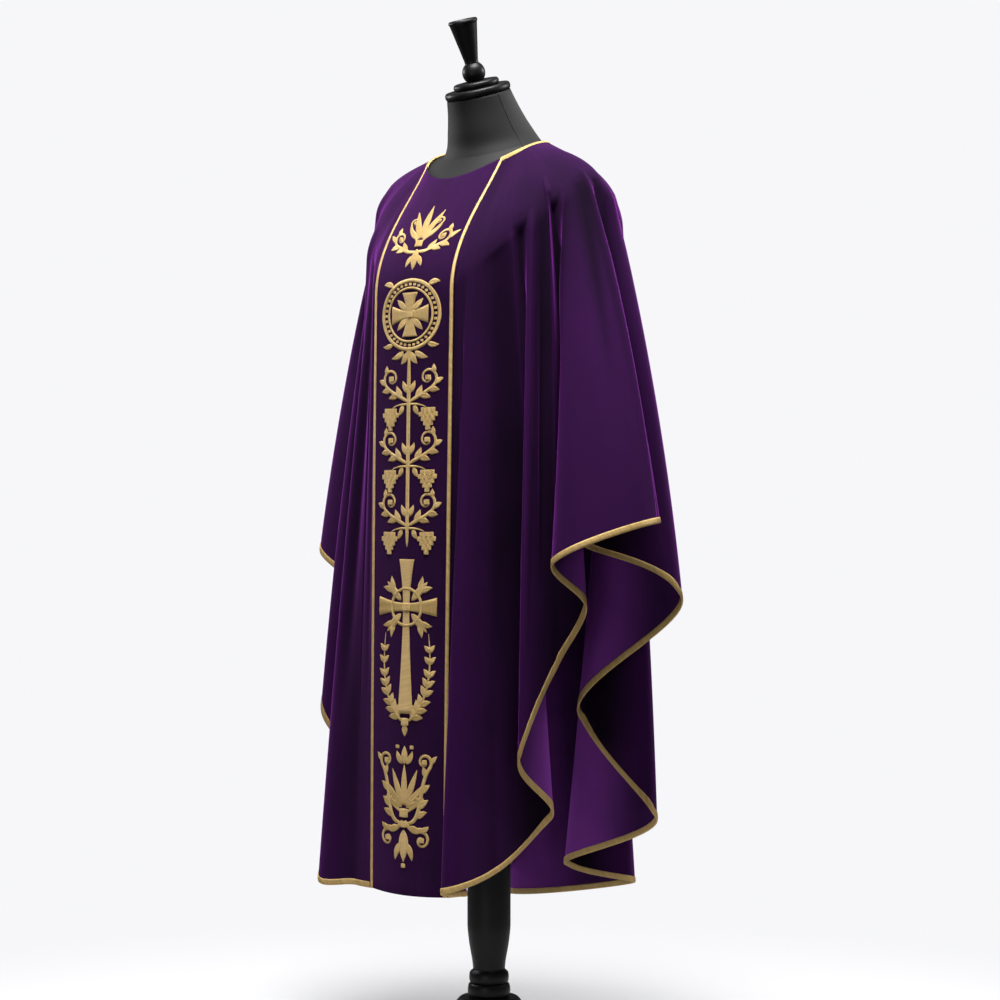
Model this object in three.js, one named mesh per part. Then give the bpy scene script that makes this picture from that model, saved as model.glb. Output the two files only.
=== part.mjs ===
// Gothic chasuble worn on a limbless dress form with a turned stand.
// Millimetres, +Z up. The form faces -Y, and the wearer's left is +X.
// The origin is the centre of the underside of the stand's base.
import * as THREE from 'three';

// Cloth and trim
const CLOTH = 2;
const BINDING_WIDTH = 10;
const BINDING_WALL = 0.8;
const BRAID_HALF_WIDTH = 3.5;
const BRAID_WALL = 0.9;
const SEAM_GAP = 0.3;
const TRIM_GAP = 0.5;

// Neckline: a tilted oval, highest at the back
const NECK_HALF_WIDTH = 108;
const NECK_HALF_DEPTH = 100;
const NECK_CENTRE_Y = -5;
const NECK_MID_Z = 1544;
const NECK_TILT_RISE = 32;
const NECK_SIDE_RISE = 28;

// Slope of the cloth where it leaves the neckline, in degrees below level: over the shoulder,
// and how much steeper it is down the chest and the back
const SHOULDER_SLOPE = 20;
const CHEST_SLOPE_MORE = 38;

// Centre-front band
const BAND_HALF_WIDTH = 88;
const BAND_STEPS = 4;

// Rows down each column: shares of the shoulder stretch, then shares of the hanging stretch
const SHOULDER_ROWS = [0.22, 0.42, 0.62, 0.82, 1];
const HANGING_ROWS = [0.13, 0.38, 0.68];
const EDGE_ROWS = 2;

// Least sine of the angle between an edge and the columns that the binding's width allows for
const EDGE_SINE_LEAST = 0.45;

// How far the cloth of the sleeves bows outward between the fall line and the hem
const SLEEVE_BOW = 12;

// How fully the hem swings round at the tip of each fold: 0 is a sharp corner
const FOLD_ROUNDNESS = 0.8;

// How fast the line of the falls and of the hems climbs or drops through each fold, as a share
// of the climbs before and after it together: 0.5 is the smoothest
const HEM_SWEEP = 0.5;

// The folds, from the band round the wearer's left, the back and the wearer's right to the band.
// neck is the angle round the neckline (90 front, 0 wearer's left, -90 back, -180 wearer's
// right). fall is where the cloth leaves the body and starts to hang free, and hem is where it
// ends, both as x, y, z. steps is the number of strips from this fold to the next one.
const FOLDS = [
  { name: 'band_left', neck: 35.4, fall: [88, -190, 1310], hem: [88, -207, 306], steps: 2 },
  { name: 'tuck_left', neck: 29.5, fall: [99, -185, 1318], hem: [108, -179, 308], steps: 5 },
  { name: 'roll_left', neck: 26, fall: [112, -178, 1328], hem: [105, -233, 317], steps: 5 },
  { name: 'panel_left', neck: 22, fall: [142, -152, 1358], hem: [143, -141, 345], steps: 5 },
  { name: 'front_ridge', neck: 18, fall: [166, -126, 1388], hem: [170, -35, 425], steps: 5 },
  { name: 'front_valley', neck: 15, fall: [182, -108, 1408], hem: [181, -126, 537], steps: 5 },
  { name: 'sleeve_swell', neck: 12, fall: [203, -78, 1436], hem: [209, -65, 680], steps: 4 },
  { name: 'sleeve_ridge', neck: 10, fall: [209, -69, 1444], hem: [251, -40, 777], steps: 5 },
  { name: 'sleeve_valley', neck: 7, fall: [217, -57, 1454], hem: [236, -110, 855], steps: 5 },
  { name: 'wrist_left', neck: -3, fall: [241, -14, 1484], hem: [396, -30, 925], steps: 5 },
  { name: 'under_wrist_left', neck: -6, fall: [246, 10, 1478], hem: [215, 0, 885], steps: 5 },
  { name: 'back_sleeve_left', neck: -10, fall: [250, 44, 1452], hem: [373, 57, 808], steps: 5 },
  { name: 'side_valley_left', neck: -18, fall: [232, 74, 1440], hem: [135, 90, 583], steps: 5 },
  { name: 'side_ridge_left', neck: -28, fall: [206, 106, 1425], hem: [267, 125, 427], steps: 5 },
  { name: 'back_valley_left', neck: -42, fall: [165, 138, 1408], hem: [60, 140, 320], steps: 5 },
  { name: 'back_ridge_left', neck: -56, fall: [122, 153, 1394], hem: [170, 185, 297], steps: 5 },
  { name: 'back_hem', neck: -97, fall: [-60, 163, 1380], hem: [-95, 167, 252], steps: 5 },
  { name: 'back_ridge_right', neck: -112, fall: [-110, 156, 1390], hem: [-170, 215, 262], steps: 5 },
  { name: 'back_valley_right', neck: -125, fall: [-150, 144, 1400], hem: [-75, 130, 330], steps: 5 },
  { name: 'side_ridge_right', neck: -140, fall: [-190, 122, 1418], hem: [-250, 130, 430], steps: 5 },
  { name: 'side_valley_right', neck: -156, fall: [-222, 88, 1436], hem: [-130, 80, 590], steps: 5 },
  { name: 'back_sleeve_right', neck: -168, fall: [-243, 45, 1462], hem: [-360, 60, 800], steps: 5 },
  { name: 'under_wrist_right', neck: -174, fall: [-245, 16, 1480], hem: [-215, 0, 890], steps: 5 },
  { name: 'wrist_right', neck: -178, fall: [-247, -8, 1495], hem: [-380, -30, 882], steps: 5 },
  { name: 'sleeve_valley_right', neck: -186, fall: [-220, -45, 1478], hem: [-205, -60, 745], steps: 5 },
  { name: 'sleeve_ridge_right', neck: -194, fall: [-193, -80, 1442], hem: [-290, -122, 605], steps: 5 },
  { name: 'front_valley_right', neck: -201, fall: [-170, -119, 1400], hem: [-165, -105, 440], steps: 5 },
  { name: 'front_ridge_right', neck: -206, fall: [-140, -150, 1362], hem: [-230, -187, 310], steps: 5 },
  { name: 'panel_right', neck: -210, fall: [-112, -175, 1330], hem: [-135, -192, 304], steps: 2 },
  { name: 'band_right', neck: -215.4, fall: [-88, -190, 1310], hem: [-88, -200, 304], steps: 0 },
];

// The band between its two seams: how far its middle stands forward at the chest and at the
// hem, and how much lower the hem is there
const BAND_CHEST_FORWARD = 8;
const BAND_HEM_FORWARD = 12;
const BAND_HEM_DIP = 3;

// Torso below the fall line, which is about FALL_HALF_WIDTH by FALL_DEPTH from the middle:
// sections from the bottom up
const FALL_HALF_WIDTH = 245;
const FALL_DEPTH = 178;
const TORSO_SECTIONS = [
  { z: 880, halfWidth: 160, front: 108, back: 112 },
  { z: 960, halfWidth: 170, front: 118, back: 122 },
  { z: 1090, halfWidth: 145, front: 110, back: 100 },
  { z: 1220, halfWidth: 165, front: 138, back: 118 },
  { z: 1330, halfWidth: 185, front: 160, back: 132 },
];
const TORSO_SQUARENESS = 2.3;
const FORM_COLUMN_STEP = 2;

// Clearance of the form under the cloth, measured from the cloth's outer face
const FORM_UNDER_CLOTH = 2.8;
const FORM_UNDER_BINDING = 4;
const FORM_CHEST_RECESS = 26;

// Neck of the form: sections from the neckline up, leaning forward
const NECK_LEAN = 18.4;
const NECK_SECTIONS = [
  { y: 7, z: 1573, halfWidth: 88, halfDepth: 83 },
  { y: 3, z: 1591, halfWidth: 78, halfDepth: 75 },
  { y: -7, z: 1614, halfWidth: 69, halfDepth: 68 },
  { y: -17, z: 1639, halfWidth: 61.5, halfDepth: 61 },
  { y: -27, z: 1663, halfWidth: 56, halfDepth: 55.5 },
];

// Turned parts
const TURN_SEGMENTS = 24;
const CAP_RADIUS = 57.5;
const CAP_TIER_RADIUS = 40;
const CAP_LOWER_HEIGHT = 13;
const CAP_UPPER_HEIGHT = 11;
const BALL_RADIUS = 20;
const FINIAL_NECK_RADIUS = 12;
const FINIAL_TOP_RADIUS = 26;
const FINIAL_LENGTH = 92;
const COLUMN_RADIUS = 37.5;
const COLUMN_WAIST_RADIUS = 27.5;
const BASE_RADIUS = 200;
const BASE_TOP_Z = 102;
const COLUMN_TOP_Z = TORSO_SECTIONS[0].z - SEAM_GAP;

const radians = THREE.MathUtils.degToRad;

function material(color, roughness, metalness = 0) {
  return new THREE.MeshStandardMaterial({ color, roughness, metalness });
}
const VELVET = 0x35134f;
const GOLD = 0xc9a455;
const CHARCOAL = 0x2b2c2b;

// Signed power, for rounded-square outlines
function signedPower(value, power) {
  return Math.sign(value) * Math.abs(value) ** power;
}

function neckPoint(angle) {
  const a = radians(angle);
  return new THREE.Vector3(
    NECK_HALF_WIDTH * Math.cos(a),
    NECK_CENTRE_Y - NECK_HALF_DEPTH * Math.sin(a),
    NECK_MID_Z - NECK_TILT_RISE * Math.sin(a) + NECK_SIDE_RISE * Math.cos(a) ** 2,
  );
}

// Cubic curve from one point to another that leaves and arrives with the given speeds
function cubic(from, leaving, to, arriving, s) {
  return new THREE.Vector3()
    .addScaledVector(from, 2 * s ** 3 - 3 * s ** 2 + 1)
    .addScaledVector(leaving, s ** 3 - 2 * s ** 2 + s)
    .addScaledVector(to, 3 * s ** 2 - 2 * s ** 3)
    .addScaledVector(arriving, s ** 3 - s ** 2);
}

// One column of the cloth: its path from the neckline over the fall line to the hem
class Column {
  constructor(neck, fall, hem) {
    this.neck = neck;
    this.neckAt = neckPoint(neck);
    this.fallAt = fall;
    this.hemAt = hem;
    this.shoulderLength = fall.distanceTo(this.neckAt);
    this.hangingLength = fall.distanceTo(hem);
    const out = fall.clone().sub(this.neckAt).setZ(0).normalize();
    const slope = radians(SHOULDER_SLOPE + CHEST_SLOPE_MORE * out.y ** 2);
    this.leaving = out.clone().multiplyScalar(Math.cos(slope)).setZ(-Math.sin(slope))
      .multiplyScalar(this.shoulderLength);
    this.bow = out.multiplyScalar(SLEEVE_BOW * (fall.x / FALL_HALF_WIDTH) ** 2);
    this.falling = hem.clone().sub(fall).addScaledVector(this.bow, 4).normalize()
      .multiplyScalar(this.shoulderLength);
  }

  // Cubic curve from the neckline to the fall line that ends in the direction of the hem
  shoulder(s) {
    return cubic(this.neckAt, this.leaving, this.fallAt, this.falling, s);
  }

  // Parabola from the fall line to the hem, with the bow at its middle
  hanging(t) {
    return this.fallAt.clone().lerp(this.hemAt, t).addScaledVector(this.bow, 4 * t * (1 - t));
  }

  rows() {
    const points = [this.shoulder(0), this.shoulder(BINDING_WIDTH / this.shoulderLength)];
    for (const s of SHOULDER_ROWS) {
      points.push(this.shoulder(s));
    }
    for (const t of [...HANGING_ROWS, 1 - BINDING_WIDTH / this.hangingLength, 1]) {
      points.push(this.hanging(t));
    }
    return points;
  }
}

// Smooth line through points. Seen from above, it halves the turn at each point, and roundness
// says how fully it swings round there. Returns a function of the point's number and the share
// of the way to the next point.
function roundedLine(list, roundness) {
  const points = list.map((point) => new THREE.Vector3(...point));
  const last = points.length - 1;
  const steps = points.slice(1).map((point, i) => point.clone().sub(points[i]));
  const level = ({ x, y }) => new THREE.Vector3(x, y, 0);
  const headings = points.map((point, i) => {
    const before = steps[Math.max(i - 1, 0)];
    const after = steps[Math.min(i, last - 1)];
    const heading = level(before).normalize().add(level(after).normalize()).normalize();
    return { heading, climb: (before.z + after.z) * HEM_SWEEP };
  });
  return (i, share) => {
    const reach = level(steps[i]).length() * roundness;
    const speed = ({ heading, climb }) => heading.clone().multiplyScalar(reach).setZ(climb);
    return cubic(points[i], speed(headings[i]), points[i + 1], speed(headings[i + 1]), share);
  };
}

// Columns between the rows of the fold table, closest together at the turns of the folds
function foldColumns() {
  const fall = roundedLine(FOLDS.map((fold) => fold.fall), 1);
  const hem = roundedLine(FOLDS.map((fold) => fold.hem), FOLD_ROUNDNESS);
  const columns = [];
  FOLDS.forEach((fold, i) => {
    const next = FOLDS[i + 1];
    for (let k = 0; k < fold.steps; k += 1) {
      const share = (1 - Math.cos(Math.PI * k / fold.steps)) / 2;
      columns.push(new Column(
        THREE.MathUtils.lerp(fold.neck, next.neck, share),
        fall(i, share),
        hem(i, share),
      ));
    }
  });
  return columns;
}

// Columns of the band, straight down between its seams, from the right seam to the left one
function bandColumns() {
  const left = FOLDS[0];
  const right = FOLDS[FOLDS.length - 1];
  const between = (key, share, forward, dip) => {
    const crown = 1 - share ** 2;
    return new THREE.Vector3(...right[key])
      .lerp(new THREE.Vector3(...left[key]), (share + 1) / 2)
      .add(new THREE.Vector3(0, -forward * crown, -dip * crown));
  };
  const columns = [];
  for (let k = 0; k < 2 * BAND_STEPS; k += 1) {
    const share = k / BAND_STEPS - 1;
    const neck = Math.acos(BAND_HALF_WIDTH * share / NECK_HALF_WIDTH);
    columns.push(new Column(
      THREE.MathUtils.radToDeg(neck),
      between('fall', share, BAND_CHEST_FORWARD, 0),
      between('hem', share, BAND_HEM_FORWARD, BAND_HEM_DIP),
    ));
  }
  return columns;
}

// A column beside a seam, at a set distance from it on each row
function besideSeam(seam, neighbour, distance) {
  return seam.map((point, j) => {
    const step = neighbour[j].clone().sub(point).normalize();
    return point.clone().addScaledVector(step, distance);
  });
}

// Sets the rows beside the two edges of the cloth so that the strip between them and the edge
// keeps the width of the binding, however steeply the edge runs across the columns
function evenEdges(columns) {
  const count = columns.length;
  const last = columns[0].length - 1;
  const even = columns.map((column) => [...column]);
  for (const [edge, strip, beyond] of [[0, 1, 2], [last, last - 1, last - 2]]) {
    columns.forEach((column, i) => {
      const before = columns[(i + count - 1) % count][edge];
      const after = columns[(i + 1) % count][edge];
      const along = after.clone().sub(before).normalize();
      const inward = column[beyond].clone().sub(column[edge]).normalize();
      const sine = Math.max(inward.clone().cross(along).length(), EDGE_SINE_LEAST);
      even[i][strip] = column[edge].clone().addScaledVector(inward, BINDING_WIDTH / sine);
    });
  }
  return even;
}

// The whole cloth as one closed ring of columns, each a list of points from neckline to hem.
// The ring starts at the band's right seam. marks holds the place of each seam in it.
function clothRing() {
  const band = bandColumns();
  const folds = foldColumns();
  const bandRows = band.map((column) => column.rows());
  const foldRows = folds.map((column) => column.rows());
  const rightSeam = bandRows[0];
  const leftSeam = foldRows[0];
  const lastBand = bandRows[bandRows.length - 1];
  const lastFold = foldRows[foldRows.length - 1];
  const stepsBefore = (name) => FOLDS
    .slice(0, FOLDS.findIndex((fold) => fold.name === name))
    .reduce((total, fold) => total + fold.steps, 0);
  const columns = [
    rightSeam,
    besideSeam(rightSeam, bandRows[1], BRAID_HALF_WIDTH),
    ...bandRows.slice(1),
    besideSeam(leftSeam, lastBand, BRAID_HALF_WIDTH),
    leftSeam,
    besideSeam(leftSeam, foldRows[1], BRAID_HALF_WIDTH),
    ...foldRows.slice(1),
    besideSeam(rightSeam, lastFold, BRAID_HALF_WIDTH),
  ];
  const leftAt = bandRows.length + 2;
  const marks = {
    rightSeam: 0,
    leftSeam: leftAt,
    wristLeft: leftAt + 1 + stepsBefore('wrist_left'),
    wristRight: leftAt + 1 + stepsBefore('wrist_right'),
    end: columns.length,
  };
  return { columns: evenEdges(columns), marks, folds, band };
}

// Outward directions of the ring, from the neighbours along the rows and the columns
function ringNormals(columns) {
  const count = columns.length;
  return columns.map((column, i) => column.map((point, j) => {
    const before = columns[(i + count - 1) % count][j];
    const after = columns[(i + 1) % count][j];
    const along = after.clone().sub(before);
    const above = column[Math.max(j - 1, 0)];
    const below = column[Math.min(j + 1, column.length - 1)];
    return below.clone().sub(above).cross(along).normalize();
  }));
}

// Closed body between two grids of points, each a list of columns. outer and inner match, and
// both split their quads along the same diagonal, so that a twisted wall keeps its thickness.
function wallGeometry(outer, inner) {
  const columns = outer.length;
  const rows = outer[0].length;
  const positions = [];
  for (const grid of [outer, inner]) {
    for (const column of grid) {
      for (const point of column) {
        positions.push(point.x, point.y, point.z);
      }
    }
  }
  const at = (side, i, j) => side * columns * rows + i * rows + j;
  const index = [];
  const quad = (a, b, c, d) => index.push(a, b, c, a, c, d);
  for (let i = 0; i < columns - 1; i += 1) {
    for (let j = 0; j < rows - 1; j += 1) {
      quad(at(0, i, j), at(0, i, j + 1), at(0, i + 1, j + 1), at(0, i + 1, j));
      quad(at(1, i, j), at(1, i + 1, j), at(1, i + 1, j + 1), at(1, i, j + 1));
    }
    quad(at(0, i + 1, 0), at(1, i + 1, 0), at(1, i, 0), at(0, i, 0));
    quad(at(0, i, rows - 1), at(1, i, rows - 1), at(1, i + 1, rows - 1), at(0, i + 1, rows - 1));
  }
  for (let j = 0; j < rows - 1; j += 1) {
    quad(at(0, 0, j), at(1, 0, j), at(1, 0, j + 1), at(0, 0, j + 1));
    const last = columns - 1;
    quad(at(0, last, j), at(0, last, j + 1), at(1, last, j + 1), at(1, last, j));
  }
  return bufferGeometry(positions, index);
}

function bufferGeometry(positions, index) {
  const geometry = new THREE.BufferGeometry();
  geometry.setAttribute('position', new THREE.Float32BufferAttribute(positions, 3));
  geometry.setIndex(index);
  geometry.computeVertexNormals();
  return geometry;
}

// Moves the two end columns of a piece apart from its neighbours' by half the seam gap
function trimmedEnds(columns, gap) {
  const last = columns.length - 1;
  return columns.map((column, i) => {
    if (i === 0) {
      return besideSeam(column, columns[1], gap);
    }
    return i === last ? besideSeam(column, columns[last - 1], gap) : column;
  });
}

function offsetGrid(columns, normals, distance) {
  return columns.map((column, i) => column.map(
    (point, j) => point.clone().addScaledVector(normals[i][j], distance)));
}

// Takes columns from to to (included) of the closed ring
function ringRange(list, from, to) {
  const taken = [];
  for (let i = from; i <= to; i += 1) {
    taken.push(list[i % list.length]);
  }
  return taken;
}

const { columns: RING, marks: MARKS, folds: FOLD_COLUMNS, band: BAND_COLUMNS } = clothRing();
const NORMALS = ringNormals(RING);

function panel(name, from, to) {
  const columns = trimmedEnds(ringRange(RING, from, to), SEAM_GAP / 2);
  const normals = ringRange(NORMALS, from, to);
  const geometry = wallGeometry(columns, offsetGrid(columns, normals, -CLOTH));
  return namedMesh(name, geometry, material(VELVET, 0.85));
}

// Strip of trim on the outer face of the cloth
function strip(name, columns, normals, wall) {
  const geometry = wallGeometry(
    offsetGrid(columns, normals, TRIM_GAP + wall),
    offsetGrid(columns, normals, TRIM_GAP),
  );
  return namedMesh(name, geometry, material(GOLD, 0.45, 0.5));
}

function braid(name, seam) {
  const start = seam + RING.length - 1;
  const last = start + 2;
  return strip(name, ringRange(RING, start, last), ringRange(NORMALS, start, last), BRAID_WALL);
}

// Binding along the neck edge or the hem, from one column of the ring to another
function binding(name, from, to, atHem) {
  const edge = (column) => (atHem ? column.slice(-2) : column.slice(0, 2));
  const columns = trimmedEnds(ringRange(RING, from, to), SEAM_GAP).map(edge);
  return strip(name, columns, ringRange(NORMALS, from, to).map(edge), BINDING_WALL);
}

function namedMesh(name, geometry, finish) {
  const mesh = new THREE.Mesh(geometry, finish);
  mesh.name = name;
  return mesh;
}

// Torso and neck of the form: rings of points from the bottom up, on every second column
function formTorso() {
  const whole = [...BAND_COLUMNS, ...FOLD_COLUMNS].filter((column, i) => i % FORM_COLUMN_STEP === 0);
  const normals = ringNormals(whole.map((column) => column.rows()));
  const rings = TORSO_SECTIONS.map((section) => whole.map(({ fallAt }) => {
    const a = Math.atan2(-fallAt.y / FALL_DEPTH, fallAt.x / FALL_HALF_WIDTH);
    const power = 2 / TORSO_SQUARENESS;
    const depth = Math.sin(a) > 0 ? section.front : section.back;
    return new THREE.Vector3(
      section.halfWidth * signedPower(Math.cos(a), power),
      -depth * signedPower(Math.sin(a), power),
      section.z,
    );
  }));
  for (let k = SHOULDER_ROWS.length - 2; k >= 0; k -= 1) {
    const s = SHOULDER_ROWS[k];
    rings.push(whole.map((column, i) => {
      const recess = FORM_CHEST_RECESS * s * (column.fallAt.y / FALL_DEPTH) ** 2;
      return column.shoulder(s)
        .addScaledVector(normals[i][k + EDGE_ROWS], -FORM_UNDER_CLOTH - recess);
    }));
  }
  rings.push(whole.map((column, i) => (
    column.neckAt.clone().addScaledVector(normals[i][0], -FORM_UNDER_BINDING))));
  const lean = radians(NECK_LEAN);
  for (const section of NECK_SECTIONS) {
    rings.push(whole.map(({ neck }) => {
      const a = radians(neck);
      const back = -section.halfDepth * Math.sin(a);
      return new THREE.Vector3(
        section.halfWidth * Math.cos(a),
        section.y + back * Math.cos(lean),
        section.z + back * Math.sin(lean),
      );
    }));
  }
  return namedMesh('form_torso', loftGeometry(rings), material(CHARCOAL, 0.8));
}

// Closed loft through rings of points, bottom to top, with a flat fan at each end
function loftGeometry(rings) {
  const size = rings[0].length;
  const centre = (ring) => ring
    .reduce((sum, point) => sum.add(point), new THREE.Vector3())
    .divideScalar(size);
  const points = [...rings.flat(), centre(rings[0]), centre(rings[rings.length - 1])];
  const positions = points.flatMap((point) => [point.x, point.y, point.z]);
  const bottom = rings.length * size;
  const top = (rings.length - 1) * size;
  const index = [];
  for (let k = 0; k < size; k += 1) {
    const next = (k + 1) % size;
    for (let i = 0; i < rings.length - 1; i += 1) {
      const a = i * size + k;
      const b = i * size + next;
      index.push(a, b, b + size, a, b + size, a + size);
    }
    index.push(bottom, next, k);
    index.push(bottom + 1, top + k, top + next);
  }
  return bufferGeometry(positions, index);
}

// Turned body about the Z axis from a profile of radius and height pairs
function turned(name, profile, roughness = 0.45) {
  const points = profile.map(([radius, height]) => new THREE.Vector2(radius, height));
  const geometry = new THREE.LatheGeometry(points, TURN_SEGMENTS);
  geometry.rotateX(Math.PI / 2);
  return namedMesh(name, geometry, material(CHARCOAL, roughness));
}

// Points of a rounded bead on the profile, from one height to another
function bead(radius, low, high, bulge) {
  const points = [];
  const steps = 4;
  for (let k = 0; k <= steps; k += 1) {
    const turn = Math.PI * (k / steps);
    points.push([radius + bulge * Math.sin(turn), low + (high - low) * (1 - Math.cos(turn)) / 2]);
  }
  return points;
}

function neckCap() {
  const tierTop = CAP_LOWER_HEIGHT + CAP_UPPER_HEIGHT;
  return turned('neck_cap', [
    [0, 0],
    ...bead(CAP_RADIUS - 4, 0, CAP_LOWER_HEIGHT, 4),
    ...bead(CAP_TIER_RADIUS - 4, CAP_LOWER_HEIGHT, tierTop, 4),
    [0, tierTop],
  ]);
}

function finial() {
  const ballFoot = 14;
  const cosine = Math.sqrt(1 - (ballFoot / BALL_RADIUS) ** 2);
  const steps = 8;
  const profile = [[0, 0], [ballFoot, 0]];
  const low = -BALL_RADIUS * cosine;
  const high = Math.sqrt(BALL_RADIUS ** 2 - FINIAL_NECK_RADIUS ** 2);
  for (let k = 1; k <= steps; k += 1) {
    const height = low + (high - low) * (k / steps);
    profile.push([Math.sqrt(BALL_RADIUS ** 2 - height ** 2), height - low]);
  }
  const coneFoot = high - low;
  const coneTop = FINIAL_LENGTH - low;
  profile.push(
    [FINIAL_NECK_RADIUS, coneFoot + 5],
    [FINIAL_TOP_RADIUS - 2, coneTop - 7],
    [FINIAL_TOP_RADIUS, coneTop - 4],
    [FINIAL_TOP_RADIUS - 2, coneTop],
    [FINIAL_TOP_RADIUS - 5, coneTop],
    [FINIAL_TOP_RADIUS - 7, coneTop - 3],
    [0, coneTop - 3],
  );
  return turned('finial', profile);
}

function column() {
  return turned('column', [
    [0, BASE_TOP_Z + SEAM_GAP],
    ...bead(33, BASE_TOP_Z + SEAM_GAP, 126, 4),
    ...bead(31, 126.5, 147, 3.5),
    [COLUMN_WAIST_RADIUS, 150],
    [COLUMN_WAIST_RADIUS + 1.5, 165],
    [COLUMN_RADIUS - 3, 195],
    [COLUMN_RADIUS, 222],
    [COLUMN_RADIUS, COLUMN_TOP_Z],
    [0, COLUMN_TOP_Z],
  ]);
}

function base() {
  return turned('base', [
    [0, 0],
    [BASE_RADIUS - 4, 0],
    [BASE_RADIUS, 5],
    [BASE_RADIUS, 20],
    [BASE_RADIUS - 6, 27],
    [BASE_RADIUS - 40, 36],
    [130, 46],
    [95, 60],
    [68, 79],
    [54, 98],
    [50, BASE_TOP_Z],
    [0, BASE_TOP_Z],
  ]);
}

function head() {
  const group = new THREE.Group();
  const top = NECK_SECTIONS[NECK_SECTIONS.length - 1];
  group.position.set(0, top.y, top.z);
  group.rotation.x = radians(NECK_LEAN);
  const cap = neckCap();
  cap.position.z = SEAM_GAP;
  const knob = finial();
  knob.position.z = 2 * SEAM_GAP + CAP_LOWER_HEIGHT + CAP_UPPER_HEIGHT;
  group.add(cap, knob);
  return group;
}

function build() {
  const group = new THREE.Group();
  const { rightSeam, leftSeam, wristLeft, wristRight, end } = MARKS;
  group.add(
    panel('band_front', rightSeam, leftSeam),
    panel('front_left', leftSeam, wristLeft),
    panel('back', wristLeft, wristRight),
    panel('front_right', wristRight, end),
    braid('braid_left', leftSeam),
    braid('braid_right', rightSeam),
    binding('neck_binding', leftSeam + 1, end - 1, false),
    binding('hem_binding_front_left', leftSeam + 1, wristLeft, true),
    binding('hem_binding_back', wristLeft, wristRight, true),
    binding('hem_binding_front_right', wristRight, end - 1, true),
    formTorso(),
    head(),
    column(),
    base(),
  );
  return group;
}

export default build();
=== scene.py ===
"""Looks of a gothic chasuble worn on a limbless dress form with a turned stand.

Every size in the classes is in millimetres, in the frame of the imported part: +Z is up, the form
faces -Y and the wearer's left is +X. Shape.build turns them into Blender's metres.
"""

import logging
from dataclasses import dataclass, field, replace
from enum import Enum

import bpy
import numpy as np
from bpy.types import Material, Node, NodeSocket, NodeTree, Object
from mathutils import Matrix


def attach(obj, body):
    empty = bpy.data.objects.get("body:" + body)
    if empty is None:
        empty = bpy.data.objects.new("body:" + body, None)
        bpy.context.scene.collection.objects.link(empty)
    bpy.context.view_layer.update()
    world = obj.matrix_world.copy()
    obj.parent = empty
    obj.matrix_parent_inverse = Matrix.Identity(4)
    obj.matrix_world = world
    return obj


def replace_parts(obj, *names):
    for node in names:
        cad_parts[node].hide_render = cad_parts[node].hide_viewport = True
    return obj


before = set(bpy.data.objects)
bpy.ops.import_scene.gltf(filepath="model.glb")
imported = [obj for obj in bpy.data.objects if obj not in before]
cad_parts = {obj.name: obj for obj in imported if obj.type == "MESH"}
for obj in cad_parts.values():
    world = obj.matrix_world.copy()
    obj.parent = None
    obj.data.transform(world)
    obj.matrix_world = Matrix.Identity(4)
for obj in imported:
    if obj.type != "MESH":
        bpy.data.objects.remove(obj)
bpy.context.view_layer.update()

MM = 0.001
BODY = "root"

Pair = tuple[float, float]

log = logging.getLogger("chasuble")


def lerp(a: np.ndarray, b: np.ndarray, share: np.ndarray) -> np.ndarray:
    """Point the given share of the way from a to b."""
    return a + (b - a) * share


def unit(vectors: np.ndarray) -> np.ndarray:
    """Vectors scaled to length one along their last axis."""
    return vectors / np.maximum(np.linalg.norm(vectors, axis=-1, keepdims=True), 1e-9)


def smooth_step(t: np.ndarray) -> np.ndarray:
    """3t^2 - 2t^3 of t held between 0 and 1."""
    t = np.clip(t, 0, 1)
    return t * t * (3 - 2 * t)


def lengths_along(path: np.ndarray) -> np.ndarray:
    """Length of a path from its start to each of its points."""
    return np.append(0, np.cumsum(np.linalg.norm(np.diff(path, axis=0), axis=-1)))


def map_of(along: np.ndarray, across: np.ndarray) -> np.ndarray:
    """UV places in metres for every station along and every point across, in millimetres."""
    return np.stack(np.meshgrid(along, across, indexing="ij"), -1) * MM


def cubic(start: np.ndarray, leaving: np.ndarray, end: np.ndarray, arriving: np.ndarray,
          s: np.ndarray) -> np.ndarray:
    """Hermite cubic: the curve from start to end with the speeds leaving and arriving."""
    return (start * (2 * s**3 - 3 * s**2 + 1) + leaving * (s**3 - 2 * s**2 + s)
            + end * (3 * s**2 - 2 * s**3) + arriving * (s**3 - s**2))


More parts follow.
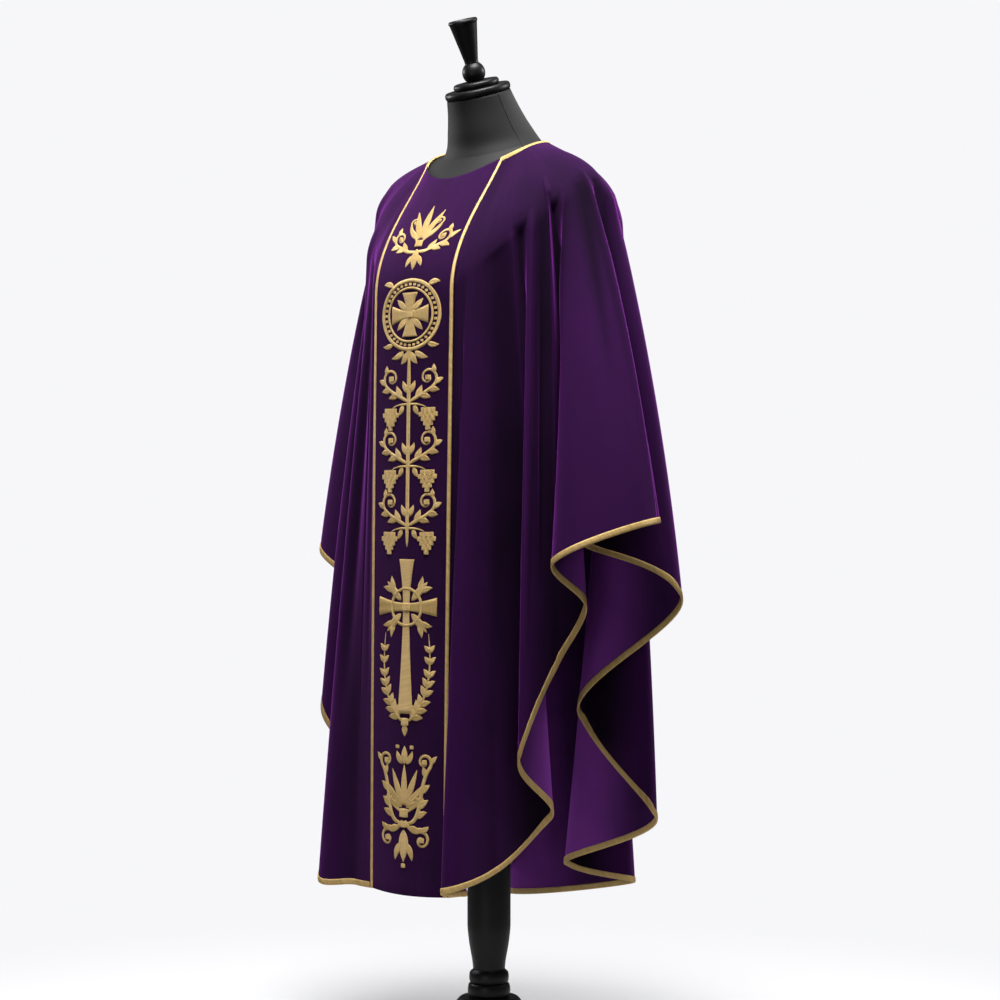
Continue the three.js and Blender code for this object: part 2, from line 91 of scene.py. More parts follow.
@dataclass
class Shape:
    """A closed mesh in the making: points, a UV place in metres for each, and faces.

    The second UV place of each point says how far it stands out of the cloth round it: the mask
    for painted shade in the troughs and painted highlight on the ridges.
    """

    points: np.ndarray
    uv: np.ndarray
    faces: list[np.ndarray]
    pile_and_crease_shade: np.ndarray | None = None

    @staticmethod
    def wall(outer: np.ndarray, inner: np.ndarray, uv: np.ndarray) -> "Shape":
        """Closed wall between two grids of points of the same size.

        Args:
            outer: grid (columns, rows, 3) of the outer face.
            inner: grid of the inner face.
            uv: grid (columns, rows, 2) of places on the cloth.

        Returns:
            The wall with its four rims.
        """
        columns, rows = outer.shape[:2]
        number = np.arange(2 * columns * rows).reshape(2, columns, rows)
        out, back = number
        rim = np.concatenate([out[:, 0], out[-1, 1:], out[-2::-1, -1], out[0, -2:0:-1]])
        rim_back = rim + columns * rows
        faces = [
            np.stack([out[:-1, :-1], out[:-1, 1:], out[1:, 1:], out[1:, :-1]], -1),
            np.stack([back[:-1, :-1], back[1:, :-1], back[1:, 1:], back[:-1, 1:]], -1),
            np.stack([rim, np.roll(rim, -1), np.roll(rim_back, -1), rim_back], -1),
        ]
        return Shape(
            np.concatenate([outer.reshape(-1, 3), inner.reshape(-1, 3)]),
            np.concatenate([uv.reshape(-1, 2), uv.reshape(-1, 2)]),
            [np.concatenate([face.reshape(-1, 4) for face in faces])],
        )

    @staticmethod
    def sweep(sections: np.ndarray, uv: np.ndarray, ring: bool = False) -> "Shape":
        """Closed body through sections (stations, points, 3), capped unless it is a ring."""
        stations, size = sections.shape[:2]
        number = np.arange(stations * size).reshape(stations, size)
        after = np.roll(number, -1, axis=0) if ring else number[1:]
        before = number if ring else number[:-1]
        quads = np.stack([before, np.roll(before, -1, 1), np.roll(after, -1, 1), after], -1)
        faces = [quads.reshape(-1, 4)]
        if not ring:
            faces.append(np.stack([number[0, ::-1], number[-1]]))
        return Shape(sections.reshape(-1, 3), uv.reshape(-1, 2), faces)

    @staticmethod
    def joined(shapes: list["Shape"]) -> "Shape":
        """Several shapes as one mesh, each still closed by itself."""
        start = np.cumsum([0] + [len(shape.points) for shape in shapes])
        return Shape(
            np.concatenate([shape.points for shape in shapes]),
            np.concatenate([shape.uv for shape in shapes]),
            [faces + base for shape, base in zip(shapes, start) for faces in shape.faces],
        )

    def volume(self) -> float:
        """Signed volume: a sixth of the sum of a . (b x c) over the triangles of each face."""
        total = 0.0
        for faces in self.faces:
            first = self.points[faces[:, 0]]
            for k in range(1, faces.shape[1] - 1):
                pair = np.cross(self.points[faces[:, k]], self.points[faces[:, k + 1]])
                total += float((first * pair).sum()) / 6
        return total

    def outward(self) -> "Shape":
        """The same shape with its faces turned to point outwards."""
        if self.volume() < 0:
            return replace(self, faces=[faces[:, ::-1] for faces in self.faces])
        return self

    def build(self, name: str, material: Material, slot: str) -> Object:
        """Makes the Blender object, smooth shaded, riding on the part's body.

        Args:
            name: the piece's name.
            material: its finish.
            slot: the record's material slot; not used.

        Returns:
            The finished object at the origin.
        """
        mesh = bpy.data.meshes.new(name)
        loops = np.concatenate([faces.ravel() for faces in self.faces])
        sizes = np.concatenate([np.full(len(faces), faces.shape[1]) for faces in self.faces])
        mesh.vertices.add(len(self.points))
        mesh.vertices.foreach_set("co", (self.points * MM).astype(np.float32).ravel())
        mesh.loops.add(len(loops))
        mesh.loops.foreach_set("vertex_index", loops.astype(np.int32))
        mesh.polygons.add(len(sizes))
        starts = np.concatenate([[0], np.cumsum(sizes)[:-1]]).astype(np.int32)
        mesh.polygons.foreach_set("loop_start", starts)
        mesh.polygons.foreach_set("use_smooth", np.ones(len(sizes), bool))
        layer = mesh.uv_layers.new(name="UVMap")
        layer.data.foreach_set("uv", self.uv[loops].astype(np.float32).ravel())
        # Second UV layer: the mask for painted shade in the troughs and painted highlight on the
        # ridges of the velvet.
        if self.pile_and_crease_shade is not None:
            streaks_and_crease_shade = mesh.uv_layers.new(name="Pile", do_init=False)
            streaks_and_crease_shade.data.foreach_set("uv", self.pile_and_crease_shade[loops].astype(np.float32).ravel())
        mesh.update(calc_edges=True)
        mesh.validate()
        mesh.materials.append(material)
        piece = bpy.data.objects.new(name, mesh)
        bpy.context.scene.collection.objects.link(piece)
        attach(piece, BODY)
        log.info("%s: %d points, %d faces", name, len(self.points), len(sizes))
        return piece

    def build_for(self, node: str, name: str, material: Material, slot: str) -> Object:
        """Makes the object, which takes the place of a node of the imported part."""
        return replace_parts(self.outward().build(name, material, slot), node)


@dataclass(frozen=True)
class Fold:
    """One row of the fold table: its place on the neckline, the fall line and the hem."""

    name: str
    neck: float
    fall: tuple[float, float, float]
    hem: tuple[float, float, float]


FOLDS = (
    Fold("band_left", 35.4, (88, -190, 1310), (88, -207, 306)),
    Fold("tuck_left", 29.5, (99, -185, 1318), (108, -179, 308)),
    Fold("roll_left", 26, (112, -178, 1328), (105, -233, 317)),
    Fold("panel_left", 22, (142, -152, 1358), (143, -141, 345)),
    Fold("front_ridge", 18, (166, -126, 1388), (170, -35, 425)),
    Fold("front_valley", 15, (182, -108, 1408), (181, -126, 537)),
    Fold("sleeve_swell", 12, (203, -78, 1436), (209, -65, 680)),
    Fold("sleeve_ridge", 10, (209, -69, 1444), (251, -40, 777)),
    Fold("sleeve_valley", 7, (217, -57, 1454), (236, -110, 855)),
    Fold("wrist_left", -3, (241, -14, 1484), (396, -30, 925)),
    Fold("under_wrist_left", -6, (246, 10, 1478), (215, 0, 885)),
    Fold("back_sleeve_left", -10, (250, 44, 1452), (373, 57, 808)),
    Fold("side_valley_left", -18, (232, 74, 1440), (135, 90, 583)),
    Fold("side_ridge_left", -28, (206, 106, 1425), (267, 125, 427)),
    Fold("back_valley_left", -42, (165, 138, 1408), (60, 140, 320)),
    Fold("back_ridge_left", -56, (122, 153, 1394), (170, 185, 297)),
    Fold("back_hem", -97, (-60, 163, 1380), (-95, 167, 252)),
    Fold("back_ridge_right", -112, (-110, 156, 1390), (-170, 215, 262)),
    Fold("back_valley_right", -125, (-150, 144, 1400), (-75, 130, 330)),
    Fold("side_ridge_right", -140, (-190, 122, 1418), (-250, 130, 430)),
    Fold("side_valley_right", -156, (-222, 88, 1436), (-130, 80, 590)),
    Fold("back_sleeve_right", -168, (-243, 45, 1462), (-360, 60, 800)),
    Fold("under_wrist_right", -174, (-245, 16, 1480), (-215, 0, 890)),
    Fold("wrist_right", -178, (-247, -8, 1495), (-380, -30, 882)),
    Fold("sleeve_valley_right", -186, (-220, -45, 1478), (-205, -60, 745)),
    Fold("sleeve_ridge_right", -194, (-193, -80, 1442), (-290, -122, 605)),
    Fold("front_valley_right", -201, (-170, -119, 1400), (-165, -105, 440)),
    Fold("front_ridge_right", -206, (-140, -150, 1362), (-230, -187, 310)),
    Fold("panel_right", -210, (-112, -175, 1330), (-135, -192, 304)),
    Fold("band_right", -215.4, (-88, -190, 1310), (-88, -200, 304)),
)


def fold_number(name: str) -> int:
    """Place of a fold in the table."""
    return [fold.name for fold in FOLDS].index(name)


@dataclass(frozen=True)
class Crease:
    """A soft trough (depth below 0) or ridge in the velvet.

    It runs from one place on the cloth to another. A place is the fold number, then the share
    of the way down: 0 neckline, 1 fall line, 2 hem.
    """

    top: Pair
    bottom: Pair
    width: float
    depth: float
    bow: float = 0.0


CREASES = [Crease((u_top, v_top), (u_foot, v_foot), *rest)
           for u_top, v_top, u_foot, v_foot, *rest in (
    (0.35, 0.35, 0.4, 1.7, 6, -3.5), (3.2, 0.95, 3.0, 1.8, 30, -9, 0.15),
    (4.05, 0.9, 4.1, 1.6, 14, 4), (4.62, 0.8, 4.55, 1.93, 16, -16),
    (5.22, 0.82, 5.15, 1.86, 9, 9), (5.68, 1.0, 5.6, 1.8, 9, -8), (6.22, 0.58, 5.95, 1.7, 8, 9),
    (6.95, 0.78, 6.62, 1.6, 16, -17), (7.9, 0.78, 7.75, 1.42, 14, 5),
    (8.6, 0.8, 8.66, 1.75, 10, -7), (8.98, 0.72, 8.98, 1.96, 7, 7), (9.45, 0.8, 9.5, 1.8, 13, -9),
    (10.6, 0.75, 10.5, 1.5, 12, 5), (11.5, 0.8, 11.55, 1.7, 16, -7),
    (12.5, 0.7, 12.6, 1.6, 14, 5, 0.1), (13.4, 0.9, 13.6, 1.85, 18, -8),
    (14.5, 0.65, 14.45, 1.55, 14, 5, -0.1), (15.4, 0.8, 15.3, 1.9, 24, -8),
    (15.75, 0.5, 15.9, 1.3, 16, 4), (16.35, 0.9, 16.45, 1.7, 20, -6, 0.08),
    (17.4, 0.7, 17.5, 1.8, 15, -7), (18.45, 0.6, 18.5, 1.45, 13, 5),
    (19.5, 0.85, 19.4, 1.9, 17, -7, -0.1), (20.5, 0.7, 20.6, 1.6, 14, 5),
    (21.5, 0.8, 21.4, 1.7, 13, -6), (22.6, 0.75, 22.7, 1.5, 10, 5),
    (23.3, 0.7, 23.4, 1.5, 12, -9), (24.3, 0.6, 24.4, 1.65, 12, 7),
    (25.45, 0.85, 25.5, 1.8, 15, -12), (26.4, 0.7, 26.35, 1.5, 12, 7),
    (27.4, 0.8, 27.5, 1.75, 16, -11, 0.1), (28.65, 0.35, 28.6, 1.7, 6, -3),
)]


@dataclass
class Draping:
    """Paths that the cloth takes from the neckline over the fall line to the hem."""

    neck_half_width: float = 108
    neck_half_depth: float = 100
    neck_centre_y: float = -5
    neck_mid_z: float = 1544
    neck_tilt_rise: float = 32
    neck_side_rise: float = 28
    shoulder_slope: float = 20
    chest_slope_more: float = 38
    sleeve_bow: float = 12
    fall_half_width: float = 245

    def neck_point(self, degrees: np.ndarray) -> np.ndarray:
        """Tilted oval of the neckline: x by cosine, y by sine, z by both."""
        a = np.radians(degrees)
        return np.stack([
            self.neck_half_width * np.cos(a),
            self.neck_centre_y - self.neck_half_depth * np.sin(a),
            self.neck_mid_z - self.neck_tilt_rise * np.sin(a)
            + self.neck_side_rise * np.cos(a) ** 2,
        ], -1)

    def points(self, neck: np.ndarray, fall: np.ndarray, hem: np.ndarray,
               v: np.ndarray) -> np.ndarray:
        """Cubic over the shoulder, then a parabola that bows outward down to the hem.

        Args:
            neck: angle of each column on the neckline (columns).
            fall: its point on the fall line (columns, 3).
            hem: its point on the hem (columns, 3).
            v: share of the way down, 0 to 1 to the fall line and 1 to 2 to the hem.

        Returns:
            Points (columns, rows, 3).
        """
        start = self.neck_point(neck)
        length = np.linalg.norm(fall - start, axis=-1, keepdims=True)
        level = unit((fall - start) * (1, 1, 0))
        slope = np.radians(self.shoulder_slope
                           + self.chest_slope_more * level[:, 1:2] ** 2)
        down = np.array([0, 0, -1])
        leaving = (level * np.cos(slope) + down * np.sin(slope)) * length
        bow = level * self.sleeve_bow * (fall[:, :1] / self.fall_half_width) ** 2
        falling = unit(hem - fall + 4 * bow) * length
        s = np.minimum(v, 1)[..., None]
        t = np.maximum(v - 1, 0)[..., None]
        over = cubic(start[:, None], leaving[:, None], fall[:, None], falling[:, None], s)
        return over + (hem - fall)[:, None] * t + 4 * bow[:, None] * t * (1 - t)

    def lengths(self, neck: np.ndarray, fall: np.ndarray,
                hem: np.ndarray) -> tuple[np.ndarray, np.ndarray]:
        """Straight lengths of the shoulder stretch and of the hanging stretch."""
        start = self.neck_point(neck)
        return np.linalg.norm(fall - start, axis=-1), np.linalg.norm(hem - fall, axis=-1)


@dataclass
class RoundedLine:
    """Smooth line through points that halves the turn, seen from above, at each of them."""

    points: np.ndarray
    roundness: float

    def at(self, u: np.ndarray) -> np.ndarray:
        """Points at the numbers u: whole numbers are the given points."""
        steps = np.diff(self.points, axis=0)
        before = np.concatenate([steps[:1], steps])
        after = np.concatenate([steps, steps[-1:]])
        heading = unit(unit(before * (1, 1, 0)) + unit(after * (1, 1, 0)))
        climb = (before[:, 2] + after[:, 2]) / 2
        i = np.clip(np.floor(u).astype(int), 0, len(steps) - 1)
        reach = np.linalg.norm(steps[i, :2], axis=-1, keepdims=True) * self.roundness
        leaving = heading[i] * reach
        arriving = heading[i + 1] * reach
        leaving[:, 2] = climb[i]
        arriving[:, 2] = climb[i + 1]
        return cubic(self.points[i], leaving, self.points[i + 1], arriving, (u - i)[:, None])


@dataclass
class Cloth:
    """A face of the cloth: points and normals at fold number u and share v of the way down."""

    draping: Draping = field(default_factory=Draping)
    least: float = 0.0
    most: float = 1.0

    def columns(self, u: np.ndarray) -> tuple[np.ndarray, np.ndarray, np.ndarray]:
        """Neck angle, fall point and hem point of each column."""
        raise NotImplementedError

    def plain(self, u: np.ndarray, v: np.ndarray) -> np.ndarray:
        """Points without creases."""
        return self.draping.points(*self.columns(u), v)

    def directions(self, u: np.ndarray, v: np.ndarray) -> tuple[np.ndarray, np.ndarray]:
        """Change of the plain points with u and with v, by central differences."""
        step = 1e-3 * (self.most - self.least)
        above = np.minimum(u + step, self.most)
        below = np.maximum(u - step, self.least)
        across = (self.plain(above, v) - self.plain(below, v)) / (above - below)[:, None, None]
        down = (self.plain(u, v + step) - self.plain(u, v - step)) / (2 * step)
        return across, down

    def relief(self, u: np.ndarray, v: np.ndarray, across: np.ndarray) -> np.ndarray:
        """Height of the creases over the plain cloth."""
        return np.zeros(v.shape)

    def grid(self, u: np.ndarray, v: np.ndarray, lift: np.ndarray | float = 0.0) -> np.ndarray:
        """Points of the creased cloth, moved out along its normals by lift.

        Args:
            u: fold number of each column.
            v: share of the way down, for each column and row.
            lift: distance outward in millimetres, a number or a grid.

        Returns:
            Points (columns, rows, 3).
        """
        across, down = self.directions(u, v)
        normal = unit(np.cross(down, across))
        height = self.relief(u, v, across) + lift
        return self.plain(u, v) + normal * height[..., None]

    def rows(self, u: np.ndarray, distance: np.ndarray, at_hem: bool) -> np.ndarray:
        """v at distances from the neckline or from the hem, for each column and row."""
        shoulder, hanging = self.draping.lengths(*self.columns(u))
        if at_hem:
            return 2 - distance / hanging[:, None]
        return distance / shoulder[:, None]


@dataclass
class FoldedCloth(Cloth):
    """The velvet of the two fronts and the back, by the fold table."""

    fall_roundness: float = 1.0
    hem_roundness: float = 1.05
    room_on_shoulder: float = 0.6
    room_below: float = 26
    free_from: float = 0.84
    free_over: float = 0.36
    arch_power: float = 0.8
    most: float = len(FOLDS) - 1.0

    def columns(self, u: np.ndarray) -> tuple[np.ndarray, np.ndarray, np.ndarray]:
        """Neck angles run straight between the folds, falls and hems on rounded lines."""
        neck = np.interp(u, np.arange(len(FOLDS)), [fold.neck for fold in FOLDS])
        falls = np.array([fold.fall for fold in FOLDS], float)
        hems = np.array([fold.hem for fold in FOLDS], float)
        return (neck, RoundedLine(falls, self.fall_roundness).at(u),
                RoundedLine(hems, self.hem_roundness).at(u))

    def relief(self, u: np.ndarray, v: np.ndarray, across: np.ndarray) -> np.ndarray:
        """Sum over the creases of depth times a bell across and a soft arch along them.

        A trough is no deeper than the room between the cloth and the form, which is small on
        the shoulders.
        """
        height = np.zeros(v.shape)
        scale = np.linalg.norm(across, axis=-1)
        for crease in CREASES:
            t = (v - crease.top[1]) / (crease.bottom[1] - crease.top[1])
            arch = np.sin(np.pi * np.clip(t, 0, 1)) ** self.arch_power
            middle = lerp(crease.top[0], crease.bottom[0], t) + crease.bow * arch
            off = (u[:, None] - middle) * scale / crease.width
            height += crease.depth * np.exp(-off**2) * arch
        free = smooth_step((v - self.free_from) / self.free_over)
        return np.maximum(height, -lerp(self.room_on_shoulder, self.room_below, free))


@dataclass
class BandCloth(Cloth):
    """The centre-front band. Its u is -1 at the wearer's right seam and 1 at the left one."""

    half_width: float = 88
    chest_forward: float = 8
    hem_forward: float = 12
    hem_dip: float = 3
    least: float = -1.0

    def columns(self, u: np.ndarray) -> tuple[np.ndarray, np.ndarray, np.ndarray]:
        """Straight between its seams, with its middle forward by 1 - u^2."""
        left, right = FOLDS[0], FOLDS[-1]
        neck = np.degrees(np.arccos(self.half_width * u / self.draping.neck_half_width))
        share = (u[:, None] + 1) / 2
        crown = 1 - u[:, None] ** 2
        fall = lerp(np.array(right.fall), np.array(left.fall), share)
        hem = lerp(np.array(right.hem), np.array(left.hem), share)
        return (neck, fall + crown * (0, -self.chest_forward, 0),
                hem + crown * (0, -self.hem_forward, -self.hem_dip))


def fold_places(start: float, end: float, per_fold: int, gather: float = 0.75) -> np.ndarray:
    """Fold numbers of the columns, closest together at the turns of the folds."""
    whole = np.arange(np.ceil(start), np.floor(end) + 1)
    marks = np.unique(np.concatenate([[start], whole, [end]]))
    share = np.arange(per_fold) / per_fold
    eased = lerp(share, (1 - np.cos(np.pi * share)) / 2, gather)
    inner = marks[:-1, None] + np.diff(marks)[:, None] * eased
    return np.append(inner.ravel(), marks[-1])


@dataclass
class Panel:
    """A panel of velvet with a rounded bare edge at the neckline and at the hem."""

    name: str
    node: str
    cloth: Cloth
    start: float
    end: float
    flat: Pair
    area: float
    columns_per_fold: int = 22
    shoulder_rows: int = 40
    hanging_rows: int = 84
    thickness: float = 2.0
    relief_span: float = 26

    def shares(self, u: np.ndarray) -> tuple[np.ndarray, np.ndarray]:
        """v of each row, with extra rows along both edges, and how much each is rounded off."""
        edge = np.array([0, 0.12, 0.4, 1.0])
        shoulder, hanging = self.cloth.draping.lengths(*self.cloth.columns(u))
        top = edge / shoulder[:, None]
        foot = 2 - edge[::-1] / hanging[:, None]
        fixed = np.concatenate([
            np.linspace(0, 1, self.shoulder_rows)[1:],
            np.linspace(1, 2, self.hanging_rows)[1:-1],
        ])
        v = np.concatenate([top, np.broadcast_to(fixed, (len(u), len(fixed))), foot], 1)
        half = self.thickness / 2
        ease = half * (1 - np.sqrt(1 - (1 - edge) ** 2))
        return v, np.concatenate([ease, np.zeros(len(fixed)), ease[::-1]])

    def crown(self, outer: np.ndarray) -> np.ndarray:
        """How far each point stands out of the cloth round it, 0 in a trough and 1 on a ridge.

        The cloth round it is the mean of the points up to two thirds of a fold away. The velvet's
        colour takes painted shade in the troughs and painted highlight on the ridges from it.
        """
        reach = 2 * self.columns_per_fold // 3
        padded = np.pad(outer, ((reach + 1, reach), (0, 0), (0, 0)), "edge")
        total = np.cumsum(padded, axis=0)
        mean = (total[2 * reach + 1:] - total[:-2 * reach - 1]) / (2 * reach + 1)
        normal = unit(np.cross(np.gradient(outer, axis=1), np.gradient(outer, axis=0)))
        return smooth_step(0.5 + ((outer - mean) * normal).sum(-1) / self.relief_span)

    def build(self, pile_and_crease_shade: Material, reverse: Material) -> Object:
        """Makes the wall of the panel: the nap on its outer face, the plain reverse inside, each
        with a mask for painted shade in its troughs and painted highlight on its ridges.
        """
        u = fold_places(self.start, self.end, self.columns_per_fold)
        v, ease = self.shares(u)
        outer = self.cloth.grid(u, v, -ease)
        inner = self.cloth.grid(u, v, ease - self.thickness)
        across = np.linalg.norm(np.diff(outer[:, self.shoulder_rows], axis=0), axis=-1)
        down = np.linalg.norm(np.diff(outer, axis=1), axis=-1)
        uv = np.stack([
            np.broadcast_to(np.append(0, np.cumsum(across))[:, None], v.shape),
            np.concatenate([np.zeros((len(u), 1)), np.cumsum(down, 1)], 1),
        ], -1) * MM
        # Mask of painted shade and painted highlight, 1 on the ridges and 0 in the troughs,
        # turned over for the inner face.
        crown = self.crown(outer)
        both_faces = np.concatenate([crown.ravel(), 1 - crown.ravel()])
        shape = replace(Shape.wall(outer, inner, uv), pile_and_crease_shade=np.stack([both_faces] * 2, -1))
        piece = shape.build_for(self.node, self.name, pile_and_crease_shade, "velvet")
        piece.data.materials.append(reverse)
        one_face = (len(u) - 1) * (v.shape[1] - 1)
        side = np.zeros(len(piece.data.polygons), np.int32)
        side[one_face:2 * one_face] = 1
        piece.data.polygons.foreach_set("material_index", side)
        return piece


@dataclass
class Binding:
    """Gold binding folded round an edge of the cloth."""

    name: str
    node: str
    cloth: Cloth
    start: float
    end: float
    at_hem: bool
    width: float = 9.5
    thickness: float = 2.0
    rise: float = 1.0
    columns_per_fold: int = 26
    sine_least: float = 0.45

    def section(self) -> tuple[np.ndarray, np.ndarray]:
        """Loop round the edge: distance from it along the cloth, and height over its face."""
        y = np.array([0.97, 1, 0.94, 0.75, 0.5, 0.25, 0.06]) * self.width
        out = np.array([-0.25, 0.1, 0.75, 0.96, 1, 0.96, 0.75]) * self.rise
        turn = np.radians([40, 90, 140])
        middle = self.thickness / 2
        nose_y = -np.sin(turn) * self.rise
        nose_out = -middle + np.cos(turn) * (middle + 0.5 * self.rise)
        return (np.concatenate([y, nose_y, y[::-1]]),
                np.concatenate([out, nose_out, -self.thickness - out[::-1]]))

    def build(self, material: Material) -> Object:
        """Sweeps the loop along the edge, as wide across the edge wherever it runs steeply."""
        u = fold_places(self.start, self.end, self.columns_per_fold)
        edge = np.full((len(u), 1), 2.0 if self.at_hem else 0.0)
        across, down = self.cloth.directions(u, edge)
        sine = np.linalg.norm(np.cross(unit(across), unit(down)), axis=-1)
        y, out = self.section()
        distance = y / np.maximum(sine, self.sine_least)
        v = self.cloth.rows(u, distance, self.at_hem)
        sections = self.cloth.grid(u, v, np.broadcast_to(out, v.shape))
        path = self.cloth.grid(u, edge)[:, 0]
        uv = map_of(lengths_along(path), lengths_along(np.stack([y, out], -1)))
        return Shape.sweep(sections, uv).build_for(self.node, self.name, material, "gold_trim")


@dataclass
class Braid:
    """Gold braid over the seam between the band and a front, neckline to hem."""

    name: str
    node: str
    band: BandCloth
    folds: FoldedCloth
    side: int
    half_width: float = 3.5
    height: float = 1.5
    sunk: float = 0.8
    rows: int = 420

    def build(self, material: Material) -> Object:
        """Domed strip: half lies on the band and half on the front, from the seam outward."""
        v = np.linspace(0, 2, self.rows)[None, :]
        on_band = np.array([float(self.side)])
        on_front = np.array([0.0 if self.side > 0 else self.folds.most])
        path = self.band.grid(on_band, v)[0]
        band_across, band_down = (d[0] for d in self.band.directions(on_band, v))
        front_across, front_down = (d[0] for d in self.folds.directions(on_front, v))
        normal = unit(unit(np.cross(band_down, band_across))
                      + unit(np.cross(front_down, front_across)))
        towards_band = -self.side * unit(band_across)
        towards_front = self.side * unit(front_across)
        x = np.cos(np.radians([180, 160, 135, 112, 90, 68, 45, 20, 0])) * self.half_width
        dome = np.sqrt(1 - (x / self.half_width) ** 2) ** 0.6 * self.height
        x = np.append(x, [self.half_width * 0.9, -self.half_width * 0.9])
        dome = np.append(dome, [-self.sunk, -self.sunk])
        side = np.where(x[None, :, None] < 0, towards_band[:, None], towards_front[:, None])
        sections = (path[:, None] + side * np.abs(x)[None, :, None]
                    + normal[:, None] * dome[None, :, None])
        shape = Shape.sweep(sections, map_of(lengths_along(path), x))
        return shape.build_for(self.node, self.name, material, "gold_trim")


class Taper(Enum):
    """How the width of an embroidered stroke changes from its start to its end."""

    EVEN = "even"
    ROUND = "round"
    LEAF = "leaf"
    TAIL = "tail"
    FLARE = "flare"


@dataclass(frozen=True)
class Stroke:
    """A raised stroke of embroidery: a path on the band, its width and its form.

    The path's points are x from the middle of the band towards the wearer's left, and y down
    from the neckline along the band.
    """

    path: np.ndarray
    width: float
    taper: Taper = Taper.ROUND
    height: float = 1.3
    vein: float = 0.0
    ring: bool = False

    def widths(self) -> np.ndarray:
        """Width along the stroke, by its taper."""
        t = np.linspace(0, 1, len(self.path))
        ends = np.clip(np.sqrt(1 - np.abs(2 * t - 1) ** 9), 0.06, 1)
        share = {
            Taper.EVEN: np.ones_like(t),
            Taper.ROUND: ends,
            Taper.LEAF: np.maximum(np.sin(np.pi * t**0.8) ** 0.85, 0.05),
            Taper.TAIL: ends * (1 - 0.72 * t),
            Taper.FLARE: 0.42 + 0.58 * t**1.6,
        }[self.taper]
        return self.width * share

    def mirrored(self) -> "Stroke":
        """The same stroke on the other side of the band's middle."""
        return replace(self, path=self.path * (-1, 1))


def line(start: Pair, end: Pair, count: int) -> np.ndarray:
    """Straight path."""
    return lerp(np.array(start, float), np.array(end, float), np.linspace(0, 1, count)[:, None])


def curve(start: Pair, pull: Pair, end: Pair, count: int = 16) -> np.ndarray:
    """Quadratic curve from start to end, pulled towards a third point."""
    t = np.linspace(0, 1, count)[:, None]
    return (np.array(start, float) * (1 - t) ** 2 + 2 * np.array(pull, float) * t * (1 - t)
            + np.array(end, float) * t**2)


def spiral(centre: Pair, radii: Pair, degrees: Pair, count: int = 34) -> np.ndarray:
    """Path whose distance from the centre changes evenly as it turns."""
    t = np.linspace(0, 1, count)
    a = np.radians(lerp(degrees[0], degrees[1], t))
    r = lerp(radii[0], radii[1], t)
    return np.stack([centre[0] + r * np.cos(a), centre[1] + r * np.sin(a)], -1)


def both_sides(strokes: list[Stroke]) -> list[Stroke]:
    """Strokes and their mirror images."""
    return strokes + [stroke.mirrored() for stroke in strokes]


def berry(x: float, y: float, radius: float) -> Stroke:
    """Round raised knot."""
    t = np.linspace(-1, 1, 9)
    path = np.stack([np.full_like(t, x), y + radius * np.sin(t * np.pi / 2)], -1)
    return Stroke(path, 2 * radius, Taper.ROUND, 0.9 * radius**0.5)


def leaf(base: Pair, angle: float, length: float, width: float, bend: float = 0.0) -> Stroke:
    """Pointed leaf with a vein. Its angle is 0 to the wearer's left and 90 down the band."""
    a = np.radians(angle)
    tip = (base[0] + length * np.cos(a), base[1] + length * np.sin(a))
    pull = ((base[0] + tip[0]) / 2 - bend * np.sin(a), (base[1] + tip[1]) / 2 + bend * np.cos(a))
    return Stroke(curve(base, pull, tip, 15), width, Taper.LEAF, 1.5, vein=0.55)


def scroll(start: Pair, heading: float, eye: Pair, radius: float,
           entry: float, turn: float) -> np.ndarray:
    """Path that leaves a point on a cubic and winds into a spiral with the same tangent.

    Args:
        start: where it begins.
        heading: the direction it leaves in, in degrees.
        eye: centre of the spiral.
        radius: the spiral's outer radius.
        entry: angle round the eye where the spiral begins, in degrees.
        turn: how far it winds, negative for the other way round.

    Returns:
        The path's points.
    """
    begin, a, b = np.array(start, float), np.radians(heading), np.radians(entry)
    join = np.array(eye, float) + radius * np.array([np.cos(b), np.sin(b)])
    reach = np.linalg.norm(join - begin) * 1.1
    arriving = np.sign(turn) * np.array([-np.sin(b), np.cos(b)])
    approach = cubic(begin, np.array([np.cos(a), np.sin(a)]) * reach, join, arriving * reach,
                     np.linspace(0, 1, 20)[:-1, None])
    return np.concatenate([approach, spiral(eye, (radius, radius * 0.2), (entry, entry + turn))])


def sprouts(path: np.ndarray, places: tuple[tuple[float, int, float, float], ...],
            opening: float = 36) -> list[Stroke]:
    """Leaves that grow out of a path.

    Args:
        path: the stem.
        places: for each leaf its share of the way along, its side (1 or -1), length and width.
        opening: angle between the stem and the leaf, in degrees.

    Returns:
        The leaves.
    """
    grown = []
    for share, side, length, width in places:
        i = int(share * (len(path) - 2))
        way = path[i + 1] - path[i]
        angle = np.degrees(np.arctan2(way[1], way[0])) + side * opening
        grown.append(leaf(tuple(path[i]), angle, length, width, -side * length * 0.12))
    return grown


def tendril(start: Pair, heading: float, eye: Pair, radius: float, entry: float, turn: float,
            width: float, knot: float, leaves: tuple = ()) -> list[Stroke]:
    """Scroll with a knot in its eye and leaves along it.

    Args:
        start, heading, eye, radius, entry, turn: as in scroll.
        width: width of the stroke where it starts.
        knot: radius of the knot.
        leaves: the places of sprouts.

    Returns:
        The strokes.
    """
    path = scroll(start, heading, eye, radius, entry, turn)
    return [Stroke(path, width, Taper.TAIL), berry(*eye, knot), *sprouts(path, leaves)]


def fan(x: float, y: float, rays: int, spread: float, longest: float, width: float,
        middle: float = 270) -> list[Stroke]:
    """Palmette: leaves fanned about a direction, the middle one the longest."""
    turns = np.linspace(-1, 1, rays)
    return [leaf((x + 5 * np.cos(a), y + 5 * np.sin(a)), np.degrees(a),
                 longest * (1 - 0.42 * t * t), width * (1 - 0.2 * t * t), 4 * t)
            for t, a in zip(turns, np.radians(middle + turns * spread))]


